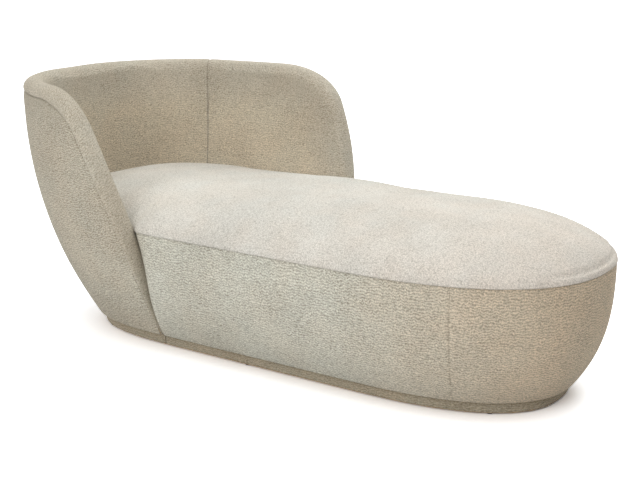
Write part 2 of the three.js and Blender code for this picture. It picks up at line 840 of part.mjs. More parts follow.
// Band cover, pads and bent panel round the free sides and the foot end
function make_seat_band() {
  const tips = seat_columns.filter((column) => column.zone === 'tip');
  const sides = seat_columns.filter((column) => column.zone === 'side' || column.zone === 'notch');
  const reversed = (columns) => [...columns].reverse();
  const around = (columns) => [[far_wing, reversed(columns)], [near_wing, columns.slice(1)]];
  const round = around([...tips, ...sides]);
  const notch_drop = (column) => (column.zone === 'notch' ? seam_allowance : 0);
  const cover_heights = (column) => [...seat_heights, edge_height(column) - cover_depth - notch_drop(column)];
  const cover = (name, parts) => {
    const faces = [0, cover_thickness].map((depth) => band_grid(parts, cover_heights, depth));
    add(`seat_band_cover_${name}`, between(faces[0], faces[1]), fabric());
  };
  const seam = (step) => ({ zone: 'tip', share: foot_seam_step / tip_steps + step * foot_gap });
  const side_cover = [seam(1), ...tips.slice(foot_seam_step + 1), ...sides];
  cover('near', [[near_wing, side_cover]]);
  cover('far', [[far_wing, reversed(side_cover)]]);
  cover('foot', around([...tips.slice(0, foot_seam_step), seam(-1)]));
  const heights = [...seat_heights.slice(base_rows, pad_row), core_bottom - fit_gap];
  const layer = (parts, from, thickness) => {
    const faces = [from, from + thickness].map((depth) => band_grid(parts, () => heights, depth));
    return between(faces[0], faces[1]);
  };
  add('seat_panel', layer(round, panel_depth, panel_thickness), plywood());
  const cut_side = [{ zone: 'side', share: straight_gap * 2 }, ...sides];
  add('seat_near_pad', layer([[near_wing, cut_side]], cover_depth, pad_thickness), foam());
  add('seat_far_pad', layer([[far_wing, reversed(cut_side)]], cover_depth, pad_thickness), foam());
  add('seat_foot_pad', layer(around(tips), cover_depth, pad_thickness), foam());
}

const rib_head_x = head_end_x + back_head_flare + wall_at_base;
const rib_foot_x = overall_length / 2 - seat_foot_flare - frame_outer;
const rib_top = deck_height - deck_rail_height - fit_gap;
const rib_places = seat_rib_shares.map((share) => lerp(rib_head_x, rib_foot_x, share));
const deck_wall = wall_at(rib_top) + fit_gap;
const deck_half_width = Math.abs(back_point(place_shares.head_side, rib_top, deck_wall).y) - rail_clearance;
const deck_head_x = rib_places[0] - rib_board;
const deck_foot_x = rib_places[rib_places.length - 1] + rib_board;

// Half width inside the panels at one side of the seat, measured on the straight facets of a row
function facet_half_width(wing, x, height) {
  const row = seat_columns.map((column) => seat_side_point(wing, column, height, frame_outer));
  const widths = [];
  for (let spot = 1; spot < row.length; spot += 1) {
    const share = (x - row[spot - 1].x) / (row[spot].x - row[spot - 1].x);
    if (share >= 0 && share <= 1) {
      widths.push(Math.abs(lerp(row[spot - 1].y, row[spot].y, share)));
    }
  }
  return Math.min(...widths);
}

// Cross ribs of the seat, shaped to its section, with two lightening holes
function make_seat_ribs() {
  const [below, above] = seat_heights.slice(pad_row - 1, pad_row + 1);
  rib_places.forEach((x, index) => {
    const faces = [x - rib_board / 2, x + rib_board / 2];
    const reach = (wing, height) => (
      wing.side * Math.min(...faces.map((face) => facet_half_width(wing, face, height)))
    );
    const side_points = (wing) => {
      const points = seat_heights.slice(base_rows, pad_row).map((height) => [reach(wing, height), height]);
      const top = lerp(reach(wing, below), reach(wing, above), (rib_top - below) / (above - below));
      return [...points, [top, rib_top]].map(([y, height]) => new THREE.Vector2(y, height));
    };
    const section = new THREE.Shape([...side_points(far_wing), ...side_points(near_wing).reverse()]);
    for (const side of [near_wing.side, far_wing.side]) {
      const hole = new THREE.Path();
      const middle = (body_bottom + rib_top) / 2;
      const hole_y = side * deck_half_width / 2;
      hole.absellipse(hole_y, middle, rib_hole_width / 2, rib_hole_height / 2, 0, 4 * quarter_turn);
      section.holes.push(hole);
    }
    const extrusion = { depth: rib_board, bevelEnabled: false, curveSegments: rib_hole_sides };
    const board = new THREE.ExtrudeGeometry(section, extrusion);
    board.applyMatrix4(new THREE.Matrix4().set(0, 0, 1, faces[0], 1, 0, 0, 0, 0, 1, 0, 0, 0, 0, 0, 1));
    add(`seat_rib_${index + 1}`, merged(board), plywood());
  });
}

// Deck rails on the ribs, and the straps across and along them
function make_seat_deck() {
  const inner = deck_half_width - deck_rail_width;
  const rail_bottom = deck_height - deck_rail_height;
  const rail = (x_from, x_to, y_from, y_to) => box(x_from, x_to, y_from, y_to, rail_bottom, deck_height);
  const between_rails = inner - fit_gap;
  add('seat_near_deck_rail', rail(deck_head_x, deck_foot_x, -deck_half_width, -inner), timber());
  add('seat_far_deck_rail', rail(deck_head_x, deck_foot_x, inner, deck_half_width), timber());
  const across = (x) => rail(x, x + deck_rail_width, -between_rails, between_rails);
  add('seat_head_deck_rail', across(deck_head_x), timber());
  add('seat_foot_deck_rail', across(deck_foot_x - deck_rail_width), timber());
  const cross_straps = cross_strap_shares.map((share) => {
    const x = lerp(deck_head_x, deck_foot_x, share) - webbing_width / 2;
    return box(x, x + webbing_width, -deck_half_width, deck_half_width, strap_bottom, strap_top);
  });
  const long_straps = long_strap_shares.map((share) => {
    const y = share * deck_half_width - webbing_width / 2;
    return box(deck_head_x, deck_foot_x, y, y + webbing_width, strap_bottom, strap_top);
  });
  add('seat_webbing', join([...cross_straps, ...long_straps]), webbing());
}

// Plinth surface at a depth inside the face of its wrap
function plinth_point(place, height, depth) {
  return offset_point(outline(place), -plinth_setback - depth, height);
}

function plinth_piece(places, bottom, depth, thickness) {
  const face = (inside) => [bottom, plinth_height].map((height) => (
    places.map((place) => plinth_point(place, height, inside))
  ));
  return between(face(depth), face(depth + thickness));
}

const near_joint = place_at(plinth_point, near_wing.side, near_wing.foot_x, plinth_height, 0);
const far_joint = place_at(plinth_point, far_wing.side, far_wing.foot_x, plinth_height, 0);
const joint_half = plinth_joint_gap / 2 / (foot_start_x - head_start_x);

// Plinth boards on edge under the rim of both modules, with the fabric wrapped round them
function make_plinth() {
  const bottom = glide_height + fit_gap;
  const head = evenly(near_joint + joint_half, far_joint - joint_half, 2 * half_columns);
  add('plinth_head', plinth_piece(head, bottom, cover_depth, plinth_board), plywood());
  add('plinth_wrap_back', plinth_piece(head, wrap_hem, 0, cover_thickness), fabric());
  const near_side = evenly(near_joint - joint_half, -place_shares.foot_side, side_steps);
  const far_side = evenly(place_shares.foot_side, far_joint + joint_half, side_steps);
  const near_foot = evenly(-place_shares.foot_side, -place_shares.foot_tip, tip_steps + 2);
  const far_foot = evenly(place_shares.foot_tip, place_shares.foot_side, tip_steps + 2);
  const foot = [...near_foot, ...far_foot.slice(1)];
  const near_board = [...near_side.slice(0, -1), straight_gap - place_shares.foot_side];
  const far_board = [place_shares.foot_side - straight_gap, ...far_side.slice(1)];
  add('plinth_side_near', plinth_piece(near_board, bottom, cover_depth, plinth_board), plywood());
  add('plinth_side_far', plinth_piece(far_board, bottom, cover_depth, plinth_board), plywood());
  add('plinth_foot', plinth_piece(foot, bottom, cover_depth, plinth_board), plywood());
  const seat_round = [...near_side, ...foot.slice(1, -1), ...far_side];
  add('plinth_wrap_seat', plinth_piece(seat_round, wrap_hem, 0, cover_thickness), fabric());
  const reach = base_half_width - plinth_setback - cover_depth - plinth_board - fit_gap;
  cross_rail_shares.forEach((share, index) => {
    const x = lerp(head_start_x, foot_start_x, share) - plinth_board / 2;
    const rail = box(x, x + plinth_board, -reach, reach, bottom, plinth_height);
    add(`plinth_cross_rail_${index + 1}`, rail, plywood());
  });
}

// Glides under the plinth boards
function make_glides() {
  const profile = [
    [0, 0],
    [glide_radius - glide_chamfer, 0],
    [glide_radius, glide_chamfer],
    [glide_radius, glide_height],
    [0, glide_height],
  ];
  for (const [spot, place] of Object.entries(glide_places)) {
    for (const [name, wing] of Object.entries({ near: near_wing, far: far_wing })) {
      const centre = plinth_point(wing.side * place, 0, cover_depth + plinth_board / 2);
      add(`glide_${spot}_${name}`, merged(turned(profile, centre.x, centre.y, 0)), plastic());
    }
  }
}

// Where a link plate sits under the two base boards, turned to the outline
function link_frame(share) {
  const base = outline(lerp(near_joint, far_joint, share));
  const depth = plinth_setback + cover_depth + plinth_board + plate_side / 2 + screw_head_height;
  const centre = offset_point(base, -depth, base_bottom - fit_gap - plate_thickness);
  const turn = new THREE.Matrix4().makeRotationZ(Math.atan2(base.ny, base.nx));
  return new THREE.Matrix4().makeTranslation(centre.x, centre.y, centre.z).multiply(turn);
}

function link_screw(x) {
  const profile = [
    [0, -screw_head_height],
    [screw_head_radius, -screw_head_height],
    [screw_head_radius, plate_thickness / 2],
    [screw_radius, plate_thickness / 2],
    [screw_radius, screw_length],
    [0, screw_length],
  ];
  return turned(profile, x, 0, 0);
}

function screw_hole(x) {
  const radius = screw_radius + fit_gap;
  const top = screw_length + fit_gap;
  return turned([[0, -cut_overrun], [radius, -cut_overrun], [radius, top], [0, top]], x, 0, 0);
}

// Base boards of both modules, joined from below by link plates and their screws
function make_base() {
  const half = plate_side / 2;
  const spots = [-half, half].map((edge) => edge - Math.sign(edge) * (screw_head_radius + screw_head_height));
  const holes = [];
  for (const [side, share] of Object.entries(link_place_shares)) {
    const frame = link_frame(share);
    const drilled = spots.map((x) => screw_hole(x).applyMatrix4(frame));
    const plate = box(-half, half, -half, half, 0, plate_thickness);
    const fixing = [plate, ...spots.map(link_screw)].map((piece) => piece.applyMatrix4(frame));
    add(`link_plate_${side}`, join(fixing), steel());
    holes.push(...drilled);
  }
  const heights = [base_bottom, base_top];
  const half_board = (wing) => {
    const face = (depth) => heights.map((height) => {
      const inner_places = tub_places(wing, height).slice(0, -1);
      const places = [wing_place(wing, height, 0), ...inner_places, wing.side * head_tip];
      return places.map((place) => back_point(place, height, depth));
    });
    return between(face(cover_depth), face(wall_at_base));
  };
  add('back_base_board_near', cut(half_board(near_wing), holes), plywood());
  add('back_base_board_far', cut(half_board(far_wing), holes), plywood());
  const seat = stack(heights.map((height) => seat_ring(() => height, cover_depth)));
  add('seat_base_board', cut(seat, holes), plywood());
}

// Origin on the floor in the middle of the overall box
function set_origin() {
  const middle = new THREE.Box3().setFromObject(chaise).getCenter(new THREE.Vector3());
  chaise.children.forEach((mesh) => mesh.geometry.translate(-middle.x, -middle.y, 0));
}

make_back_outside();
make_rim_roll();
make_inner_covers();
make_inner_pads();
make_back_panels();
make_back_ribs();
make_back_rails();
make_seat_top();
make_seat_band();
make_seat_ribs();
make_seat_deck();
make_plinth();
make_glides();
make_base();
set_origin();

export default chaise;
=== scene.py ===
# Looks of an upholstered chaise longue: a tub back wrapped round the head end of a long domed seat
import json
import math

import bmesh
import bpy
import numpy as np
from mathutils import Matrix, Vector


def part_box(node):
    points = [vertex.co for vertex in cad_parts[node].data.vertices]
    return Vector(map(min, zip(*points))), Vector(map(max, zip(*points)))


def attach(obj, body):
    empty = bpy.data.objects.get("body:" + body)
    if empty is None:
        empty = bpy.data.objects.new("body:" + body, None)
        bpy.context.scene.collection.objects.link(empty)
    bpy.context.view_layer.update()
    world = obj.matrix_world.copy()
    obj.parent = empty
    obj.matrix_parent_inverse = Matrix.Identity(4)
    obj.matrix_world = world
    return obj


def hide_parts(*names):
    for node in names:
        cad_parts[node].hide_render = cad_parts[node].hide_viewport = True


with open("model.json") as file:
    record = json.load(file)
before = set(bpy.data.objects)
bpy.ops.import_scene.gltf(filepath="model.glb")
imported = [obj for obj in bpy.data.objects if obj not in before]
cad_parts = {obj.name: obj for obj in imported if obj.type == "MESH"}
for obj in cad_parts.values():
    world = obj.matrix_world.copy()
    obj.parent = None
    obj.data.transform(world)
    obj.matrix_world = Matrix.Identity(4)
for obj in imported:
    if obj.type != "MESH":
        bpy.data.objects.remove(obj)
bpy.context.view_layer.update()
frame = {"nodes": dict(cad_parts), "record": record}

MM = 0.001
SHIFT_Y = sum(corner.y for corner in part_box("plinth_wrap_seat")) / 2 / MM

# Sizes in millimetres, as in the solids
LENGTH, WIDTH, HEIGHT = 1750.0, 868.0, 727.0
FIT_GAP = 0.3
HEAD_DEPTH, FOOT_DEPTH = 415.0, 467.0
HEAD_ROUND, FOOT_ROUND = 2.9, 2.4
PLINTH_H, PLINTH_SETBACK = 38.0, 21.0
SIDE_FLARE, HEAD_FLARE, BACK_BEND = 166.0, 197.0, 2.3
WALL, WALL_BASE = 68.0, 56.5
SEAM_DROP, BASE_BULGE, TOP_BULGE, RIM_FULLNESS = 35.0, 5.0, 20.0, 2.3
NEAR = {"side": -1.0, "reach": 567.0, "lean": 198.0, "corner": 95.0}
FAR = {"side": 1.0, "reach": 806.0, "lean": 134.0, "corner": 150.0}
LEAN_BEND, CORNER_DROP = 2.4, 75.0
SEAM_REACH = 275.0
SEAT_SIDE, SEAT_FOOT, SEAT_BEND = 86.0, 79.0, 3.0
SEAM_Z, TUB_EDGE_Z, TUB_RISE_SHARE = 355.0, 385.0, 0.5
HEAD_CROWN_Z, FOOT_CROWN_Z, CROWN_BEND, CROWN_EDGE_BEND = 437.0, 453.0, 2.7, 1.5
CROWN_SLOPE_REACH, CROWN_SLOPE_RUN, CROWN_END_REACH = 375.0, 600.0, 374.0
NOTCH_TOP_R, NOTCH_BASE_R = 62.0, 8.0
COVER, PAD = 2.0, 15.0
CORE_BOTTOM = 275.0
FOOT_SEAM_SHARE = 2 / 3
BOARD_TOP = 56.6

# Depths of the hidden sides of the covers behind their skins
HIDDEN_BAND, HIDDEN_CORE, HIDDEN_INNER = 5.0, 5.6, 6.0

# Seams: depth and width of the soft roll, then depth and width of the groove
OUTER_SEAM, RIM_SEAM, INNER_SEAM = (2.5, 28.0, 2.6, 6.0), (1.5, 16.0, 2.6, 6.0), (1.0, 18.0, 2.0, 5.0)
TOP_SEAM, BAND_SEAM, UPRIGHT_SEAM = (2.0, 34.0, 2.6, 7.0), (2.0, 30.0, 2.6, 6.0), (0.8, 16.0, 1.8, 5.0)
INNER_SEAM_REACH, INNER_DIP_LIMIT = 4.0, 5.5

# Unevenness of the covers: depth, size and seed
OUTER_WAVES, INNER_WAVES = (1.2, 260.0, 3), (1.5, 240.0, 5)
BAND_WAVES, TOP_WAVES = (1.4, 210.0, 11), (1.3, 230.0, 9)
TOP_WAVES_RUN = 40.0
FLAT_BASE, FLAT_BASE_DIP = 20.0, 1.2

# Cloth simulation: frames, quality, start behind the skin, held edge, fade, then pressure and cap of each cover
PUFF_FRAMES, PUFF_QUALITY, PUFF_START_SHARE, PUFF_HOLD, PUFF_FADE = 20, 4, 0.3, 40.0, 60.0
OUTER_PUFF, INNER_PUFF, TOP_PUFF, BAND_PUFF = (8.0, 4.0), (2.0, 2.5), (2.0, 4.0), (12.0, 3.0)

# Steps of the meshes
SUPPORT = (0.15, 0.45)
FLAT_STEPS, CORNER_STEPS, RIM_LANES, BAND_STEPS = 52, 14, 25, 33

HALF_BASE = WIDTH / 2 - SIDE_FLARE
HEAD_X = -LENGTH / 2
HEAD_START = HEAD_X + HEAD_FLARE + HEAD_DEPTH
FOOT_START = LENGTH / 2 - SEAT_FOOT - FOOT_DEPTH
RIM_Z = HEIGHT - SEAM_DROP
BASE_Z = PLINTH_H + FIT_GAP
QUARTER = math.pi / 2


def lerp(a, b, share):
    return a + (b - a) * share


def limit(value):
    return np.clip(value, 0.0, 1.0)


def ease(value):
    return value * value * (3 - 2 * value)


# Surfaces

def outline(place):
    """Base outline and outward normal: 0 at the head tip, 1 to 2 along the side, 3 at the foot tip."""
    place = np.asarray(place, float)
    side = np.where(place < 0, -1.0, 1.0)
    way = np.abs(place)
    head, foot = way < 1, way > 2
    share = np.where(head, way, np.where(foot, 3 - way, 1.0))
    bend = np.where(foot, FOOT_ROUND, HEAD_ROUND)
    depth = np.where(foot, FOOT_DEPTH, HEAD_DEPTH)
    along = np.cos(share * QUARTER).clip(0) ** (2 / bend)
    across = np.sin(share * QUARTER).clip(0) ** (2 / bend)
    slope_x, slope_y = along ** (bend - 1) / depth, across ** (bend - 1) / HALF_BASE
    size = np.hypot(slope_x, slope_y)
    straight = lerp(HEAD_START, FOOT_START, way - 1)
    x = np.where(head, HEAD_START - depth * along, np.where(foot, FOOT_START + depth * along, straight))
    turn = np.where(head, -1.0, np.where(foot, 1.0, 0.0))
    return x, side * HALF_BASE * across, turn * slope_x / size, side * slope_y / size


def offset(base, distance, z):
    x, y, nx, ny = base
    distance, z = np.broadcast_arrays(distance, z)
    return np.stack(np.broadcast_arrays(x + nx * distance, y + ny * distance, z), axis=-1)


def back_point(place, z, depth):
    base = outline(place)
    rise = limit((z - PLINTH_H) / (RIM_Z - PLINTH_H))
    reach = SIDE_FLARE * base[3] ** 2 + HEAD_FLARE * base[2] ** 2
    return offset(base, reach * (1 - (1 - rise) ** BACK_BEND) - depth, z)


def seat_point(place, z, depth):
    base = outline(place)
    rise = limit((z - PLINTH_H) / (SEAM_Z - PLINTH_H))
    reach = SEAT_SIDE * base[3] ** 2 + SEAT_FOOT * base[2] ** 2
    return offset(base, reach * (1 - (1 - rise) ** SEAT_BEND) - depth, z)


def place_at(surface, side, x, z, depth):
    x, z = np.broadcast_arrays(np.asarray(x, float), np.asarray(z, float))
    low, high = np.zeros(x.shape), np.full(x.shape, 3.0)
    for _ in range(36):
        middle = (low + high) / 2
        behind = surface(side * np.maximum(middle, 1e-9), z, depth)[..., 0] < x
        low, high = np.where(behind, middle, low), np.where(behind, high, middle)
    return side * low


def wall_at(z):
    return lerp(WALL_BASE, WALL, limit((z - PLINTH_H) / (TUB_EDGE_Z - PLINTH_H)))


def wing_x(wing, z):
    rise = (z - PLINTH_H) / (RIM_Z - PLINTH_H)
    turn = limit((z - RIM_Z + CORNER_DROP) / CORNER_DROP)
    lean = wing["lean"] * rise ** LEAN_BEND
    return HEAD_X + wing["reach"] - lean - wing["corner"] * (1 - np.sqrt(1 - turn ** 2))


def wing_bulge(z):
    corner = RIM_Z - CORNER_DROP
    rise = limit((z - PLINTH_H) / (corner - PLINTH_H))
    return lerp(lerp(BASE_BULGE, TOP_BULGE, rise), SEAM_DROP, ease(limit((z - corner) / CORNER_DROP)))


def wing_place(wing, z):
    return place_at(back_point, wing["side"], wing_x(wing, z), z, 0.0)


EVEN_SAMPLES, EVEN_REACH = 1500, 100.0


def even_shares(start, end, count):
    """Places from start to end at even steps along a line that runs outside the outline."""
    fine = np.linspace(start, end, EVEN_SAMPLES)
    x, y, nx, ny = outline(fine)
    x, y = x + nx * EVEN_REACH, y + ny * EVEN_REACH
    run = np.concatenate([[0], np.cumsum(np.hypot(np.diff(x), np.diff(y)))])
    return np.interp(np.linspace(0, run[-1], count + 1), run, fine)


def with_support(count, seams=()):
    """Steps from 0 to count, with close ones beside the ends and beside the seams."""
    steps = set(range(count + 1))
    for seam in (0, count, *seams):
        steps |= {seam + side * share for side in (-1, 1) for share in SUPPORT}
    return np.array(sorted(step for step in steps if 0 <= step <= count))


def sampled(values, steps, axis=-1):
    """Values at fractional steps along an axis."""
    values = np.moveaxis(values, axis, -1)
    low = np.minimum(steps.astype(int), values.shape[-1] - 2)
    return np.moveaxis(lerp(values[..., low], values[..., low + 1], steps - low), -1, axis)


def back_rows():
    """Heights of the rows of the back, close together at the base and at the corner of the wings."""
    lower = np.linspace(BASE_Z, RIM_Z - CORNER_DROP, FLAT_STEPS)
    lower = np.sort(np.append(lower, [BASE_Z + 1, BASE_Z + 4, BOARD_TOP]))
    corner = RIM_Z - CORNER_DROP + CORNER_DROP * np.sin(np.linspace(0, QUARTER, CORNER_STEPS + 1)[1:])
    return np.concatenate([lower, corner])


SEAM_PLACE = float(place_at(back_point, 1.0, HEAD_X + SEAM_REACH, RIM_Z, WALL))
NEAR_COLUMNS, FAR_COLUMNS = 104, 44
BACK_STEPS = with_support(NEAR_COLUMNS + FAR_COLUMNS, [NEAR_COLUMNS])
SEAM_COLUMN = int(np.searchsorted(BACK_STEPS, NEAR_COLUMNS))


def back_places(heights):
    """Places of the columns of the back in each row, with a column on the inner seam."""
    starts, ends = wing_place(NEAR, heights), wing_place(FAR, heights)
    rows = []
    for start, end in zip(starts, ends):
        near = even_shares(start, SEAM_PLACE, NEAR_COLUMNS)
        far = even_shares(SEAM_PLACE, end, FAR_COLUMNS)
        rows.append(sampled(np.concatenate([near, far[1:]]), BACK_STEPS))
    return np.array(rows)


def rim_walk(rows, columns):
    """Grid indices along the left side, the top and the right side."""
    left = [(r, 0) for r in range(rows)]
    top = [(rows - 1, c) for c in range(1, columns - 1)]
    right = [(r, columns - 1) for r in range(rows - 1, -1, -1)]
    return np.array(left + top + right)


# Mesh building

def grid_faces(rows, columns, start=0, closed=False):
    faces = []
    for r in range(rows - 1):
        for c in range(columns if closed else columns - 1):
            n = (c + 1) % columns
            a, b = start + r * columns, start + (r + 1) * columns
            faces.append((a + c, a + n, b + n, b + c))
    return faces


def thickened(front, back, faces):
    """Closed mesh data between two faces that share their polygons."""
    count = len(front)
    edges = {(f[i], f[(i + 1) % len(f)]) for f in faces for i in range(len(f))}
    solid = list(faces) + [tuple(i + count for i in reversed(f)) for f in faces]
    solid += [(v, u, u + count, v + count) for u, v in edges if (v, u) not in edges]
    return np.concatenate([front, back]), solid


def make_object(name, points, faces, weave=None):
    points = np.asarray(points, float).reshape(-1, 3) * MM
    points[:, 1] += SHIFT_Y * MM
    mesh = bpy.data.meshes.new(name)
    mesh.from_pydata(points.tolist(), [], [list(f) for f in faces])
    mesh.validate()
    mesh.update()
    if weave is not None:
        layer = mesh.attributes.new("weave", "FLOAT_VECTOR", "POINT")
        layer.data.foreach_set("vector", np.asarray(weave, np.float32).reshape(-1) * MM)
    piece = bpy.data.objects.new(name, mesh)
    bpy.context.scene.collection.objects.link(piece)
    turn_out(mesh)
    crease_corners(mesh)
    mesh.polygons.foreach_set("use_smooth", [True] * len(mesh.polygons))
    return piece


def turn_out(mesh):
    """Faces turned so that the closed mesh has a positive volume."""
    co = np.zeros(len(mesh.vertices) * 3)
    mesh.vertices.foreach_get("co", co)
    co = co.reshape(-1, 3)
    volume = 0.0
    for polygon in mesh.polygons:
        ids = polygon.vertices
        for i in range(1, len(ids) - 1):
            volume += np.dot(co[ids[0]], np.cross(co[ids[i]], co[ids[i + 1]]))
    if volume < 0:
        mesh.flip_normals()


def crease_corners(mesh, sharp=math.radians(50)):
    """Corners of the mesh kept through its subdivision."""
    work = bmesh.new()
    work.from_mesh(mesh)
    crease = work.edges.layers.float.new("crease_edge")
    for edge in work.edges:
        if len(edge.link_faces) == 2 and edge.calc_face_angle() > sharp:
            edge[crease] = 1.0
    work.to_mesh(mesh)
    work.free()


def distance_to(points, line):
    """Distance of each point to a line of samples."""
    points = np.asarray(points).reshape(-1, 3)
    out = np.empty(len(points))
    for start in range(0, len(points), 2000):
        part = points[start:start + 2000]
        out[start:start + 2000] = np.sqrt(((part[:, None, :] - line[None]) ** 2).sum(-1).min(1))
    return out


def dense(line, step=3.0):
    """Samples along a line of points."""
    line = np.asarray(line)
    run = np.concatenate([[0], np.cumsum(np.linalg.norm(np.diff(line, axis=0), axis=1))])
    at = np.arange(0, run[-1] + step, step)
    return np.stack([np.interp(at, run, line[:, k]) for k in range(3)], axis=-1)


def seam_dip(distance, seam):
    """How far a cover is drawn in at a distance from its seam: a soft roll and a narrow groove."""
    roll_depth, roll_width, groove_depth, groove_width = seam
    roll = roll_depth * (1 - limit(distance / roll_width)) ** 2
    groove = groove_depth * (1 - limit(distance / groove_width)) ** 1.5
    return roll + groove


def wobble(points, size, seed):
    """Smooth seeded variation from -1 to 1 made of a few waves."""
    rng = np.random.default_rng(seed)
    total = np.zeros(len(points))
    for _ in range(10):
        wave = rng.normal(size=3)
        wave *= 2 * math.pi / size / np.linalg.norm(wave) * rng.uniform(0.6, 1.6)
        total += np.sin(points @ wave + rng.uniform(0, 2 * math.pi))
    return total / 4


def waves(points, depth, size, seed):
    """How far an uneven cover is drawn in, from nothing to its depth."""
    return depth * (1 + wobble(points, size, seed)) / 2


def flat_at_base(points, dip):
    """Dips kept small near the base, where the cover is stapled to its board."""
    return np.where(points[:, 2] < BASE_Z + FLAT_BASE, np.minimum(dip, FLAT_BASE_DIP), dip)


def drawn_in(front, back, dip):
    """Front points moved towards their back points."""
    way = back - front
    size = np.linalg.norm(way, axis=-1, keepdims=True)
    return front + way / np.maximum(size, 1e-6) * np.asarray(dip)[..., None]


def run_length(grid, axis):
    steps = np.linalg.norm(np.diff(grid, axis=axis), axis=-1)
    zero = np.zeros_like(np.take(steps, [0], axis=axis))
    return np.concatenate([zero, np.cumsum(steps, axis=axis)], axis=axis)


# Back

def make_back():
    heights = back_rows()
    places = back_places(heights)
    rows, columns = places.shape
    z = heights[:, None] * np.ones((1, columns))
    walk = rim_walk(rows, columns)
    edge = back_point(places, z, 0.0)[walk[:, 0], walk[:, 1]]
    seam = dense(edge)
    make_outside(places, z, seam)
    make_inside(places, z, walk, seam)


def held_behind(free):
    """Distances to the held edges for the front points, and none for the points behind them."""
    return np.concatenate([free, np.zeros(len(free))])


def weave_of(grid, middle):
    """Distances along and across the cloth for a grid of points, with room for the distance to a seam."""
    u = run_length(grid, 1)
    v = run_length(grid, 0)
    return np.stack([u - u[:, middle:middle + 1], v, np.zeros_like(u)], axis=-1)


def make_outside(places, z, seam):
    rows, columns = places.shape
    front = back_point(places, z, 0.0)
    back = back_point(places, z, np.where(z > BOARD_TOP, COVER + FIT_GAP + PAD, COVER))
    weave = weave_of(front, columns // 2)
    flat = front.reshape(-1, 3)
    weave[..., 2] = distance_to(flat, seam).reshape(rows, columns)
    dip = seam_dip(weave[..., 2].ravel(), OUTER_SEAM) + waves(flat, *OUTER_WAVES)
    front = drawn_in(flat, back.reshape(-1, 3), flat_at_base(flat, dip))
    points, faces = thickened(front, back.reshape(-1, 3), grid_faces(rows, columns))
    piece = make_object("back_outer_upholstery", points, faces, np.concatenate([weave.reshape(-1, 3)] * 2))
    nodes = ["back_outer_cover", "back_outer_pad_near", "back_outer_pad_far"]
    free = np.minimum(weave[..., 2].ravel(), flat[:, 2] - BASE_Z)
    finish_soft(piece, nodes, look="back_outside", puff=(held_behind(free), *OUTER_PUFF))


def rim_section(spots, z, skin, off_edge):
    """Points across the rim from the outer seam to the inner edge, at a skin."""
    wall = wall_at(z)[:, None] - 2 * skin
    crown = wing_bulge(z)[:, None]
    angle = np.linspace(0, math.pi, RIM_LANES)[None, :]
    across = np.sign(np.cos(angle)) * np.abs(np.cos(angle)) ** (2 / RIM_FULLNESS)
    swell = np.sin(angle).clip(0) ** (2 / RIM_FULLNESS)
    depth = skin + wall / 2 * (1 - across)
    lift = FIT_GAP + (crown - FIT_GAP - skin) * swell
    base = back_point(spots[:, None] * np.ones_like(depth), z[:, None], depth)
    return base + off_edge[:, None, :] * lift[..., None]


